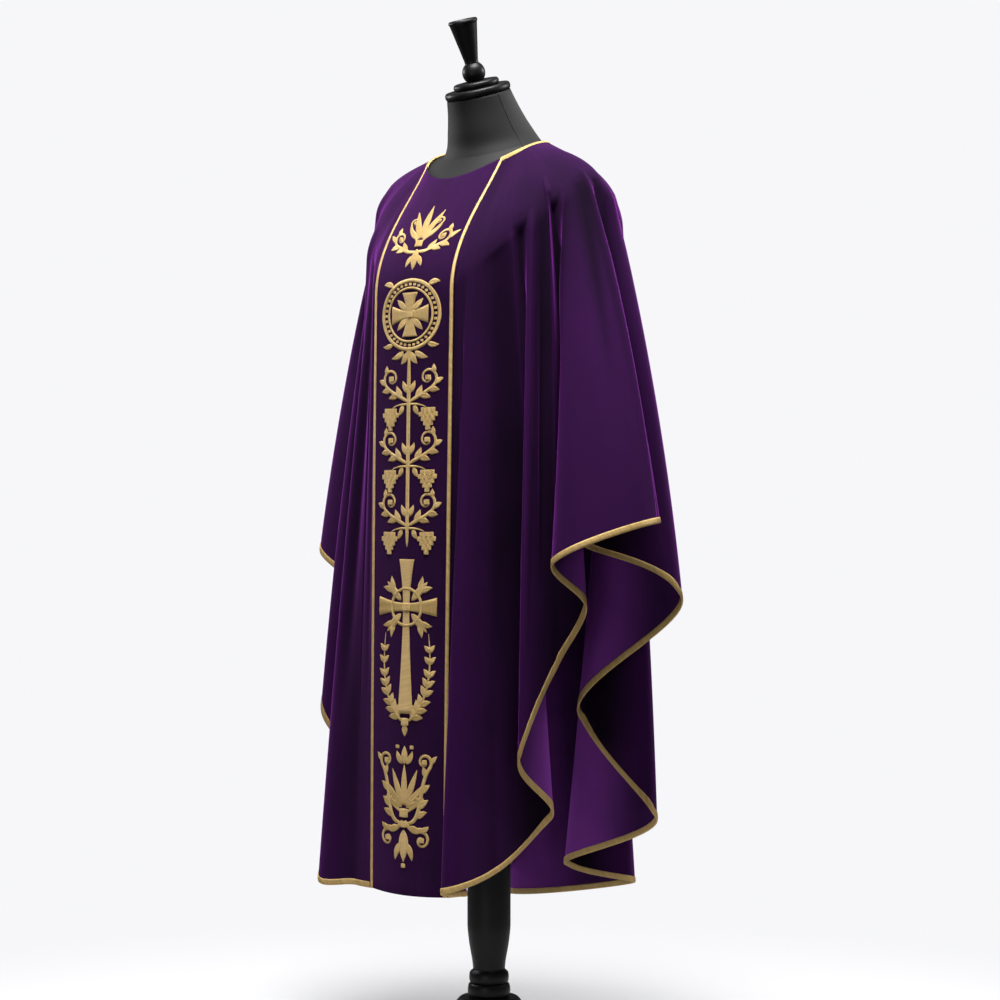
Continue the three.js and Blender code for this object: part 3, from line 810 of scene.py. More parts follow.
@dataclass
class Cresting:
    """Palmette over a pair of outward scrolls, at the top of the band."""

    y: float = 128

    def strokes(self) -> list[Stroke]:
        """Fan, scrolls with their leaves, and a drop between them."""
        y = self.y
        side = tendril((2, y + 24), 20, (44, y + 2), 14, 80, -450, 6.4, 3.6, (
            (0.16, -1, 22, 8.5), (0.22, 1, 19, 8), (0.34, 1, 20, 8), (0.44, 1, 19, 7.5),
            (0.53, 1, 15, 6.5)))
        side += tendril((3, y + 10), 300, (25, y - 32), 8.5, 30, -400, 4, 2.6)
        middle = [*fan(0, y + 4, 5, 50, 66, 11), berry(0, y + 10, 6.4),
                  leaf((0, y + 20), 90, 38, 12)]
        drops = [leaf((3, y + 32), 58, 24, 8, -3)]
        return middle + both_sides(side + drops)


@dataclass
class Medallion:
    """Two rings with knots between them round a cross with flared arms."""

    y: float = 262
    radius: float = 58
    knots: int = 36

    def strokes(self) -> list[Stroke]:
        """Rings, knots, the four arms, a leaf in each corner and leaves outside."""
        rings = [Stroke(spiral((0, self.y), (r, r), (0, 355), 72), w, Taper.EVEN, ring=True)
                 for r, w in ((self.radius, 5.4), (self.radius - 13, 3.4))]
        turn = 2 * np.pi * np.arange(self.knots) / self.knots
        between = self.radius - 6.9
        knots = [berry(between * np.cos(a), self.y + between * np.sin(a), 2.3) for a in turn]
        arms = [Stroke(line((3 * np.cos(a), self.y + 3 * np.sin(a)),
                            (37 * np.cos(a), self.y + 37 * np.sin(a)), 14), 27, Taper.FLARE,
                       1.7, vein=0.35)
                for a in np.pi / 2 * np.arange(4)]
        corners = [leaf((10 * np.cos(a), self.y + 10 * np.sin(a)), np.degrees(a), 27, 9.5)
                   for a in np.pi / 2 * (np.arange(4) + 0.5)]
        low, high = self.y + self.radius + 4, self.y - self.radius - 4
        outside = both_sides([leaf((3, low), 56, 25, 10, 4), leaf((12, low - 1), 24, 28, 9, 6),
                              leaf((36, low - 14), 10, 22, 8, 5),
                              leaf((36, high + 14), 350, 22, 8, -5)])
        return rings + knots + arms + corners + outside + [berry(0, self.y, 5)]


@dataclass
class Vine:
    """Straight stem with pairs of leafy scrolls and bunches of grapes."""

    top: float = 340
    step: float = 104
    pairs: int = 3
    grape: float = 4.1

    def bunch(self, x: float, y: float) -> list[Stroke]:
        """Grapes in rows of three, four, three, two and one."""
        rows = ((0, 3), (1, 4), (2, 3), (3, 2), (4, 1))
        return [berry(x + 2.1 * self.grape * (place - (many - 1) / 2),
                      y + 1.8 * self.grape * k, self.grape)
                for k, many in rows for place in range(many)]

    def strokes(self) -> list[Stroke]:
        """Stem, then what stands on it at each step."""
        end = self.top + self.step * self.pairs
        parts = [Stroke(line((0, self.top - 14), (0, end), 70), 6, Taper.ROUND, 1.6)]
        for k in range(self.pairs):
            y = self.top + self.step * (k + 0.66)
            side = tendril((1, y), 330, (38, y - 40), 17.5, 50, -440, 6.2, 4.4, (
                (0.1, -1, 24, 9.5), (0.16, 1, 22, 9), (0.3, 1, 20, 9), (0.4, 1, 17, 8),
                (0.5, 1, 15, 7)))
            shoot = curve((1, y + 4), (22, y + 2), (36, y + 10), 14)
            side += [Stroke(shoot, 3.6, Taper.TAIL), leaf((12, y + 5), 62, 19, 8, 3),
                     leaf((1, y - 16), 300, 23, 8.5, 3)]
            parts += both_sides(side + self.bunch(39, y + 14))
        return parts + fan(0, self.top + 2, 3, 40, 25, 9)


@dataclass
class TallCross:
    """Long plain cross with flared ends, a ring at the crossing and two laurel sprays."""

    top: float = 672
    length: float = 258
    arm_y: float = 752
    arm_reach: float = 60

    def strokes(self) -> list[Stroke]:
        """Four limbs from the crossing outward, corner leaves, then the sprays."""
        foot = self.top + self.length
        y = self.arm_y
        limbs = [((0, y - 4), (0, self.top)), ((0, y + 4), (0, foot)),
                 ((4, y), (self.arm_reach, y)), ((-4, y), (-self.arm_reach, y))]
        arms = [Stroke(line(a, b, 30), 27, Taper.FLARE, 2, vein=0.4) for a, b in limbs]
        ring = Stroke(spiral((0, y), (31, 31), (0, 352.5), 48), 4.2, Taper.EVEN, 1.4, ring=True)
        corner = [leaf((11, y + 11 * s), 45 * s, 44, 11.5) for s in (1, -1)]
        corner += [leaf((29, y + 24 * s), 20 * s, 24, 8, 4 * s) for s in (1, -1)]
        corner += [leaf((24, y + 29 * s), 70 * s, 24, 8, -4 * s) for s in (1, -1)]
        spray = curve((5, foot + 14), (60, foot - 24), (45, y + 44), 40)
        leaves = [(0.08 + 0.115 * k, side, 23 - k, 9.5 - 0.35 * k)
                  for k in range(8) for side in (1, -1)]
        sprays = [Stroke(spray, 5, Taper.TAIL), *sprouts(spray, tuple(leaves), 40)]
        knot = [berry(0, foot + 14, 6.5), leaf((0, foot + 18), 90, 20, 10)]
        return arms + [ring, berry(0, y, 7)] + knot + both_sides(corner + sprays)


@dataclass
class Foot:
    """Palmette in a lyre of scrolls, which ends the band's embroidery."""

    y: float = 1088

    def strokes(self) -> list[Stroke]:
        """Fan, lyre, lower scrolls and a drop."""
        y = self.y
        side = tendril((4, y + 24), 10, (40, y - 78), 14, 40, -430, 7, 4, (
            (0.1, 1, 24, 9.5), (0.17, 1, 24, 9.5), (0.25, 1, 22, 9), (0.33, -1, 19, 8),
            (0.42, 1, 17, 7)))
        side += tendril((3, y + 20), 60, (36, y + 52), 15, 250, 430, 6.4, 4.4, (
            (0.14, -1, 22, 9), (0.26, -1, 21, 8.5), (0.4, -1, 18, 8)))
        side += tendril((6, y + 6), 335, (29, y - 16), 10, 80, -400, 4.6, 3.2)
        side += [leaf((5, y + 58), 66, 32, 10, -5), leaf((4, y - 74), 300, 25, 8.5, 4),
                 berry(15, y - 102, 3)]
        drop = [*fan(0, y, 7, 66, 68, 10.5), berry(0, y + 8, 7.5), berry(0, y + 27, 5.5),
                leaf((0, y + 36), 90, 54, 17), berry(0, y + 96, 3.6),
                leaf((0, y - 74), 270, 30, 11)]
        return drop + both_sides(side)


@dataclass
class Embroidery:
    """Raised stitching on the band, laid on its surface from flat drawings of strokes."""

    band: BandCloth
    across: int = 9
    stations: int = 600
    sunk: float = 0.35
    widening: float = 1.12
    boldness: float = 1.18
    fullness: float = 0.7
    vein_width: float = 0.2

    def place(self, flat: np.ndarray, height: np.ndarray) -> np.ndarray:
        """Carries flat points (x, y) and heights onto the band.

        Distance down the band's middle gives the share v of the way down, and x the share of
        the half width.
        """
        v_table = np.linspace(0, 2, self.stations)
        middle = self.band.plain(np.zeros(1), v_table[None, :])[0]
        v = np.interp(flat[:, 1], lengths_along(middle), v_table)
        u = flat[:, 0] * self.widening / self.band.half_width
        return self.band.grid(u, v[:, None], height[:, None])[:, 0]

    def raised(self, stroke: Stroke) -> Shape:
        """Domed body along a stroke: its height is a half-ellipse over its width, less a vein."""
        path = stroke.path
        if stroke.ring:
            ahead = np.roll(path, -1, 0) - np.roll(path, 1, 0)
        else:
            ahead = np.gradient(path, axis=0)
        side = unit(np.stack([-ahead[:, 1], ahead[:, 0]], -1))
        w = np.cos(np.linspace(np.pi, 0, self.across))
        vein = 1 - stroke.vein * np.exp(-(w / self.vein_width) ** 2)
        dome = np.sqrt(np.maximum(1 - w**2, 0)) ** self.fullness * vein
        widths = stroke.widths() * self.boldness
        low = np.clip(widths / widths.max(), 0.25, 1)
        w = np.append(w, [0.9, -0.9])
        flat = path[:, None] + side[:, None] * w[None, :, None] * widths[:, None, None] / 2
        top = dome[None, :] * stroke.height * low[:, None]
        height = np.concatenate([top, np.full((len(path), 2), -self.sunk)], 1)
        points = self.place(flat.reshape(-1, 2), height.ravel())
        uv = np.stack([np.broadcast_to(lengths_along(path)[:, None], height.shape),
                       w[None, :] * widths[:, None] / 2], -1) * MM
        sections = points.reshape(len(path), -1, 3)
        return Shape.sweep(sections, uv, stroke.ring).outward()

    def build(self, motifs: dict[str, list[Stroke]], material: Material) -> list[Object]:
        """One piece for each motif."""
        return [Shape.joined([self.raised(stroke) for stroke in strokes])
                .build(f"embroidery_{name}", material, "gold_trim")
                for name, strokes in motifs.items()]


@dataclass
class DressForm:
    """Torso and neck of the form, lofted through rings from the bottom up."""

    band: BandCloth
    folds: FoldedCloth
    fall_depth: float = 178
    squareness: float = 2.3
    under_cloth: float = 2.8
    chest_recess: float = 26
    neck_lean: float = 18.4
    edge_share: float = 0.955
    edge_drop: float = 2.4
    shoulder_step: float = 0.02
    seam_angle: float = 12
    seam_radius: float = 0.9
    map_radius: float = 80
    torso: tuple[tuple[float, float, float, float], ...] = (
        (880, 160, 108, 112), (960, 170, 118, 122), (1090, 145, 110, 100),
        (1220, 165, 138, 118), (1330, 185, 160, 132))
    shoulder: tuple[float, ...] = (0.82, 0.62, 0.42, 0.22)
    neck: tuple[tuple[float, float, float, float], ...] = (
        (7, 1573, 88, 83), (3, 1591, 78, 75), (-7, 1614, 69, 68),
        (-17, 1639, 61.5, 61), (-27, 1663, 56, 55.5))

    def whole_ring(self) -> tuple[np.ndarray, np.ndarray, np.ndarray]:
        """Neck angles, fall points and hem points all round, without the seams' doubles."""
        pairs = [self.band.columns(np.linspace(-1, 1, 40)),
                 self.folds.columns(np.linspace(0, self.folds.most, 320)[1:-1])]
        return tuple(np.concatenate(part) for part in zip(*pairs))

    def neck_rings(self, angles: np.ndarray, count: int = 26) -> np.ndarray:
        """Leaning ovals, on a smooth line through the neck's sections."""
        sections = np.array(self.neck, float)
        number = np.arange(len(sections))
        fine = np.linspace(0, len(sections) - 1, count)
        slopes = np.gradient(sections, axis=0)
        i = np.minimum(fine.astype(int), len(sections) - 2)
        share = (fine - i)[:, None]
        y, z, half_width, half_depth = cubic(
            sections[i], slopes[i], sections[i + 1], slopes[i + 1], share).T[:, :, None]
        a = np.radians(angles)[None, :]
        lean = np.radians(self.neck_lean)
        back = -half_depth * np.sin(a)
        return np.stack(np.broadcast_arrays(
            half_width * np.cos(a), y + back * np.cos(lean), z + back * np.sin(lean)), -1)

    def build(self, material: Material) -> Object:
        """Torso rings, rings under the cloth's shoulders, then the neck."""
        neck, fall, hem = self.whole_ring()
        draping = self.folds.draping
        a = np.arctan2(-fall[:, 1] / self.fall_depth, fall[:, 0] / draping.fall_half_width)
        power = 2 / self.squareness
        x = np.sign(np.cos(a)) * np.abs(np.cos(a)) ** power
        y = -np.sign(np.sin(a)) * np.abs(np.sin(a)) ** power
        rings = [np.stack([half_width * x, np.where(y < 0, front, back) * y,
                           np.full_like(x, z)], -1)
                 for z, half_width, front, back in self.torso]
        for s in self.shoulder:
            at = draping.points(neck, fall, hem, np.full((len(neck), 1), s))[:, 0]
            below = draping.points(neck, fall, hem,
                                   np.full((len(neck), 1), s + self.shoulder_step))[:, 0]
            along = np.roll(at, -1, 0) - np.roll(at, 1, 0)
            normal = unit(np.cross(below - at, along))
            recess = self.chest_recess * s * (fall[:, 1:2] / self.fall_depth) ** 2
            rings.append(at - normal * (self.under_cloth + recess))
        edge = draping.neck_point(neck)
        rings.append(edge * (self.edge_share, self.edge_share, 1) - (0, 0, self.edge_drop))
        rings = np.concatenate([np.stack(rings), self.neck_rings(neck)])
        z_way = np.broadcast_to(rings[:, :1, 2], rings.shape[:2])
        round_way = np.broadcast_to(np.radians(neck) * self.map_radius, z_way.shape)
        uv = np.stack([round_way, z_way], -1) * MM
        return Shape.sweep(rings, uv).build_for("form_torso", "dress_form", material,
                                                "form_cover")

    def seam(self, material: Material) -> Object:
        """Thin corded seam down the left side of the neck."""
        path = self.neck_rings(np.array([self.seam_angle]), 60)[:, 0]
        ahead = unit(np.gradient(path, axis=0))
        out = unit(path * (1, 1, 0) - (0, path[0, 1], 0))
        side = np.cross(ahead, out)
        turn = np.linspace(0, 2 * np.pi, 9)[:-1]
        round_way = (np.cos(turn)[None, :, None] * out[:, None]
                     + np.sin(turn)[None, :, None] * side[:, None])
        sections = path[:, None] + self.seam_radius * round_way
        shape = Shape.sweep(sections, map_of(path[:, 2], turn))
        return shape.outward().build("neck_seam", material, "form_cover")


@dataclass
class TurnedPart:
    """A part turned on a lathe: a profile of radius and height pairs, its edges eased."""

    name: str
    profile: list[Pair]
    foot: tuple[float, float, float] = (0, 0, 0)
    lean: float = 0
    ease: float = 1.6
    segments: int = 96
    map_radius: float = 40

    def eased(self) -> np.ndarray:
        """Profile with each corner replaced by a short curve, no longer than half its sides."""
        points = np.array(self.profile, float)
        steps = np.diff(points, axis=0)
        lengths = np.linalg.norm(steps, axis=-1)
        ways = steps / lengths[:, None]
        t = np.linspace(0, 1, 6)[None, :, None]
        reach = np.minimum(self.ease, 0.45 * np.minimum(lengths[:-1], lengths[1:]))[:, None]
        corner = points[1:-1]
        before = corner - ways[:-1] * reach
        after = corner + ways[1:] * reach
        arcs = (before[:, None] * (1 - t) ** 2 + 2 * corner[:, None] * t * (1 - t)
                + after[:, None] * t**2)
        return np.concatenate([points[:1], arcs.reshape(-1, 2), points[-1:]])

    def build(self, material: Material) -> Object:
        """Turns the profile about its axis and leans it with what carries it."""
        profile = self.eased()
        profile[[0, -1], 0] = 0.4
        turn = np.linspace(0, 2 * np.pi, self.segments, endpoint=False)
        radius, height = profile[:, 0, None], profile[:, 1, None]
        lean = np.radians(self.lean)
        x = radius * np.cos(turn)
        y = radius * np.sin(turn)
        sections = np.stack(np.broadcast_arrays(
            x + self.foot[0],
            y * np.cos(lean) - height * np.sin(lean) + self.foot[1],
            y * np.sin(lean) + height * np.cos(lean) + self.foot[2]), -1)
        uv = map_of(lengths_along(profile), turn * self.map_radius)
        return Shape.sweep(sections, uv).build_for(self.name, self.name, material,
                                                   "turned_black")


def bead(radius: float, low: float, high: float, bulge: float, count: int = 14) -> list[Pair]:
    """Half-round moulding on a profile."""
    turn = np.linspace(0, np.pi, count)
    return [(radius + bulge * np.sin(a), low + (high - low) * (1 - np.cos(a)) / 2) for a in turn]


@dataclass
class Stand:
    """Cap and finial on the neck, and the column and the base under the form."""

    form: DressForm
    gap: float = 0.3
    cap_radius: float = 57.5
    tier_radius: float = 40
    lower_height: float = 13
    upper_height: float = 11
    ball_radius: float = 20
    ball_foot: float = 14
    stalk_radius: float = 12
    top_radius: float = 26
    finial_length: float = 92
    base_radius: float = 200
    base_top: float = 102

    def parts(self) -> list[TurnedPart]:
        """The four turned parts, from the top down."""
        y, z = self.form.neck[-1][:2]
        lean = self.form.neck_lean
        axis = np.array([0, -np.sin(np.radians(lean)), np.cos(np.radians(lean))])
        tiers = self.lower_height + self.upper_height
        cap_foot = np.array([0, y, z]) + axis * self.gap
        knob_foot = np.array([0, y, z]) + axis * (2 * self.gap + tiers)
        low = -np.sqrt(self.ball_radius**2 - self.ball_foot**2)
        high = np.sqrt(self.ball_radius**2 - self.stalk_radius**2)
        heights = np.linspace(low, high, 22)[1:]
        ball = [(float(np.sqrt(self.ball_radius**2 - h**2)), float(h - low)) for h in heights]
        tip = self.finial_length - low
        column_top = self.form.torso[0][0] - self.gap
        return [
            TurnedPart("finial", [
                (0, 0), (self.ball_foot, 0), *ball, (self.stalk_radius, high - low + 5),
                (self.top_radius - 2, tip - 7), (self.top_radius, tip - 4),
                (self.top_radius - 2, tip), (self.top_radius - 5, tip),
                (self.top_radius - 7, tip - 3), (0, tip - 3)], tuple(knob_foot), lean),
            TurnedPart("neck_cap", [
                (0, 0), *bead(self.cap_radius - 4, 0, self.lower_height, 4),
                *bead(self.tier_radius - 4, self.lower_height, tiers, 4), (0, tiers)],
                tuple(cap_foot), lean, 0.8),
            TurnedPart("column", [
                (0, self.base_top + self.gap), *bead(33, self.base_top + self.gap, 126, 4),
                *bead(31, 126.5, 147, 3.5), (27.5, 150), (29, 165), (34.5, 195), (37.5, 222),
                (37.5, column_top), (0, column_top)], ease=8),
            TurnedPart("base", [
                (0, 0), (self.base_radius - 4, 0), (self.base_radius, 5),
                (self.base_radius, 20), (self.base_radius - 6, 27), (self.base_radius - 40, 36),
                (130, 46), (95, 60), (68, 79), (54, 98), (50, self.base_top),
                (0, self.base_top)], ease=12),
        ]


class Graph:
    """Short way to add shader nodes and link them."""

    def __init__(self, tree: NodeTree) -> None:
        """Starts from an empty tree."""
        self.tree = tree
        tree.nodes.clear()

    def add(self, kind: str, settings: dict | None = None, **inputs: object) -> Node:
        """Adds a node.

        Args:
            kind: Blender's node type.
            settings: attributes of the node.
            inputs: values or output sockets for its inputs, with _ for a space in their names.

        Returns:
            The node.
        """
        node = self.tree.nodes.new(kind)
        for key, value in (settings or {}).items():
            setattr(node, key, value)
        for key, value in inputs.items():
            socket = node.inputs[int(key[1:]) if key[1:].isdigit() else key.replace("_", " ")]
            if isinstance(value, NodeSocket):
                self.tree.links.new(value, socket)
            else:
                socket.default_value = value
        return node

    def math(self, operation: str, *values: object) -> NodeSocket:
        """Result of a Math node."""
        inputs = {f"_{place}": value for place, value in enumerate(values)}
        return self.add("ShaderNodeMath", {"operation": operation}, **inputs).outputs["Value"]

    def scaled(self, value: NodeSocket, by: float, plus: object) -> object:
        """The value times by, plus a number or another value."""
        return self.math("MULTIPLY_ADD", value, by, plus)

    def eased(self, value: NodeSocket, low: float, high: float) -> object:
        """0 where the value is below low, 1 above high, and a smooth step between."""
        return self.add("ShaderNodeMapRange", {"interpolation_type": "SMOOTHSTEP"}, Value=value,
                        From_Min=low, From_Max=high).outputs["Result"]

    def between(self, share: NodeSocket, first: tuple, second: tuple) -> object:
        """Colour the given share of the way from the first to the second."""
        return self.add("ShaderNodeMix", {"data_type": "RGBA"}, _0=share, _6=first,
                        _7=second).outputs[2]

    def bump(self, height: NodeSocket, strength: float, distance: float,
             **normal: NodeSocket) -> object:
        """Normal bent by a height, in metres at full strength."""
        return self.add("ShaderNodeBump", Height=height, Strength=strength, Distance=distance,
                        **normal).outputs["Normal"]


def new_material(name: str) -> tuple[Material, Graph]:
    """An empty material and its graph."""
    material = bpy.data.materials.new(name)
    material.use_nodes = True
    return material, Graph(material.node_tree)


def new_group(name: str, inputs: dict[str, float], outputs: dict[str, str]) -> tuple:
    """Makes an empty shader node group.

    Args:
        name: the group's name.
        inputs: its number inputs and what they start from.
        outputs: its outputs and their socket types.

    Returns:
        The group, its graph and its input and output nodes.
    """
    tree = bpy.data.node_groups.new(name, "ShaderNodeTree")
    graph = Graph(tree)
    for key, value in inputs.items():
        socket = tree.interface.new_socket(key, in_out="INPUT", socket_type="NodeSocketFloat")
        socket.default_value = value
    for key, kind in outputs.items():
        tree.interface.new_socket(key, in_out="OUTPUT", socket_type=kind)
    return tree, graph, graph.add("NodeGroupInput"), graph.add("NodeGroupOutput")


def cloudy_group() -> NodeTree:
    """Broad and fine unevenness on Object coordinates, as masks from 0 to 1."""
    tree, graph, given, out = new_group(
        "cloudy_unevenness", {"Broad": 6.0, "Fine": 900.0},
        {"Patches": "NodeSocketFloat", "Grain": "NodeSocketFloat"})
    place = graph.add("ShaderNodeTexCoord").outputs["Object"]
    broad = graph.add("ShaderNodeTexNoise", {"noise_dimensions": "3D"}, Vector=place,
                      Scale=given.outputs["Broad"], Detail=3.0, Roughness=0.55)
    fine = graph.add("ShaderNodeTexNoise", {"noise_dimensions": "3D"}, Vector=place,
                     Scale=given.outputs["Fine"], Detail=2.0)
    tree.links.new(broad.outputs["Fac"], out.inputs["Patches"])
    tree.links.new(fine.outputs["Fac"], out.inputs["Grain"])
    return tree


def thread_group() -> NodeTree:
    """Laid threads on the UV map: a height, and a mask that tells thread from thread.

    The map is turned by Slant, and the threads lie Pitch apart along its first axis.
    """
    tree, graph, given, out = new_group(
        "laid_threads", {"Slant": 0.3, "Threads": 1600.0, "Uneven": 40.0},
        {"Height": "NodeSocketFloat", "Tone": "NodeSocketFloat"})
    place = graph.add("ShaderNodeUVMap", {"uv_map": "UVMap"}).outputs["UV"]
    turn = graph.add("ShaderNodeVectorRotate", {"rotation_type": "Z_AXIS"}, Vector=place,
                     Angle=given.outputs["Slant"])
    split = graph.add("ShaderNodeSeparateXYZ", Vector=turn.outputs["Vector"])
    wobble = graph.add("ShaderNodeTexNoise", Vector=place, Scale=given.outputs["Uneven"])
    phase = graph.math("MULTIPLY", split.outputs["X"], given.outputs["Threads"])
    shifted = graph.scaled(wobble.outputs["Fac"], 1.2, phase)
    height = graph.scaled(graph.math("SINE", shifted), 0.5, 0.5)
    number = graph.math("FLOOR", graph.math("DIVIDE", shifted, 2 * np.pi))
    tone = graph.add("ShaderNodeTexWhiteNoise", {"noise_dimensions": "1D"}, W=number)
    tree.links.new(height, out.inputs["Height"])
    tree.links.new(tone.outputs["Value"], out.inputs["Tone"])
    return tree


@dataclass(frozen=True)
class VelvetFinish:
    """Cotton velvet: a dark nap that lights up where it turns away, streaked unevenly, with
    painted shade in the troughs of its folds and painted highlight on their ridges.
    """

    name: str = "purple_velvet"
    shade: tuple = (0.0016, 0.0001, 0.0030, 1)
    light: tuple = (0.0235, 0.0025, 0.0375, 1)
    sheen_tint: tuple = (0.56, 0.065, 0.78, 1)
    sheen: float = 0.29
    sheen_roughness: float = 0.34

    def material(self, cloudy: NodeTree) -> Material:
        """Base colour by painted shade in the troughs and painted highlight on the ridges, and by
        the nap's streaks and patches; a fine bump of the nap, and sheen.
        """
        material, graph = new_material(self.name)
        uneven = graph.add("ShaderNodeGroup", {"node_tree": cloudy}, Broad=5.0, Fine=1500.0)
        place = graph.add("ShaderNodeUVMap", {"uv_map": "UVMap"}).outputs["UV"]
        strokes = graph.add("ShaderNodeMapping", Vector=place, Scale=(26, 3.2, 1))
        streaks_and_crease_shade = graph.add("ShaderNodeTexNoise", Vector=strokes.outputs["Vector"], Scale=1.0,
                            Detail=5.0, Roughness=0.62).outputs["Fac"]
        # Painted shade in the troughs and painted highlight on the ridges, from the mask in the
        # second UV layer, mixed with the nap's streaks and patches.
        crown = graph.add("ShaderNodeSeparateXYZ", Vector=graph.add(
            "ShaderNodeUVMap", {"uv_map": "Pile"}).outputs["UV"]).outputs["X"]
        both = graph.scaled(streaks_and_crease_shade, 0.55, uneven.outputs["Patches"])
        colour = graph.between(graph.eased(graph.scaled(crown, 1.5, both), 0.5, 2.7),
                               self.shade, self.light)
        bump = graph.bump(uneven.outputs["Grain"], 0.4, 0.0005)
        nap = graph.bump(streaks_and_crease_shade, 0.25, 0.004, Normal=bump)
        shader = graph.add("ShaderNodeBsdfPrincipled", Base_Color=colour, Roughness=0.95,
                           Specular_IOR_Level=0.08, Sheen_Weight=self.sheen,
                           Sheen_Roughness=self.sheen_roughness, Sheen_Tint=self.sheen_tint,
                           Normal=nap)
        graph.add("ShaderNodeOutputMaterial", Surface=shader.outputs["BSDF"])
        return material


@dataclass(frozen=True)
class ThreadFinish:
    """Metallic gold thread, laid at a slant."""

    name: str
    slant: float
    threads: float
    relief: float = 0.00035
    deep: tuple = (0.30, 0.178, 0.050, 1)
    bright: tuple = (0.57, 0.395, 0.145, 1)

    def material(self, threads: NodeTree) -> Material:
        """Thread-by-thread colour, with painted shade between the threads and painted highlight
        on them, and their bump.
        """
        material, graph = new_material(self.name)
        laid = graph.add("ShaderNodeGroup", {"node_tree": threads}, Slant=self.slant,
                         Threads=self.threads, Uneven=60.0).outputs
        # Colour by the threads' height: painted shade in the grooves and painted highlight on the
        # crowns, with a random tone for each thread.
        share = graph.scaled(laid["Height"], 0.48, graph.scaled(laid["Tone"], 0.4, 0.12))
        shader = graph.add("ShaderNodeBsdfPrincipled",
                           Base_Color=graph.between(share, self.deep, self.bright),
                           Metallic=0.2, Roughness=graph.scaled(laid["Tone"], 0.16, 0.42),
                           Specular_IOR_Level=0.4,
                           Normal=graph.bump(laid["Height"], 0.9, self.relief))
        graph.add("ShaderNodeOutputMaterial", Surface=shader.outputs["BSDF"])
        return material


@dataclass(frozen=True)
class StandFinish:
    """A dark finish of the form or its stand, with faint patches and a fine grain."""

    name: str
    dark: tuple
    light: tuple
    broad: float
    fine: float
    strength: float
    roughness: float
    specular: float
    uneven_gloss: float = 0.0
    sheen: float = 0.0

    def material(self, cloudy: NodeTree) -> Material:
        """Colour by patches, roughness and bump by the grain."""
        material, graph = new_material(self.name)
        uneven = graph.add("ShaderNodeGroup", {"node_tree": cloudy}, Broad=self.broad,
                           Fine=self.fine).outputs
        rough = self.roughness
        if self.uneven_gloss:
            rough = graph.scaled(uneven["Grain"], self.uneven_gloss, self.roughness)
        shader = graph.add("ShaderNodeBsdfPrincipled", Roughness=rough,
                           Base_Color=graph.between(uneven["Patches"], self.dark, self.light),
                           Specular_IOR_Level=self.specular, Sheen_Weight=self.sheen,
                           Normal=graph.bump(uneven["Grain"], self.strength, 0.0003))
        graph.add("ShaderNodeOutputMaterial", Surface=shader.outputs["BSDF"])
        return material


JERSEY = StandFinish("charcoal_jersey", (0.0028, 0.0030, 0.0029, 1), (0.0050, 0.0053, 0.0051, 1),
                     14.0, 1100.0, 0.3, 0.7, 0.2, sheen=0.04)
LACQUER = StandFinish("black_satin_lacquer", (0.0026, 0.0027, 0.0029, 1),
                      (0.0048, 0.0050, 0.0053, 1), 22.0, 260.0, 0.12, 0.36, 0.16,
                      uneven_gloss=0.1)


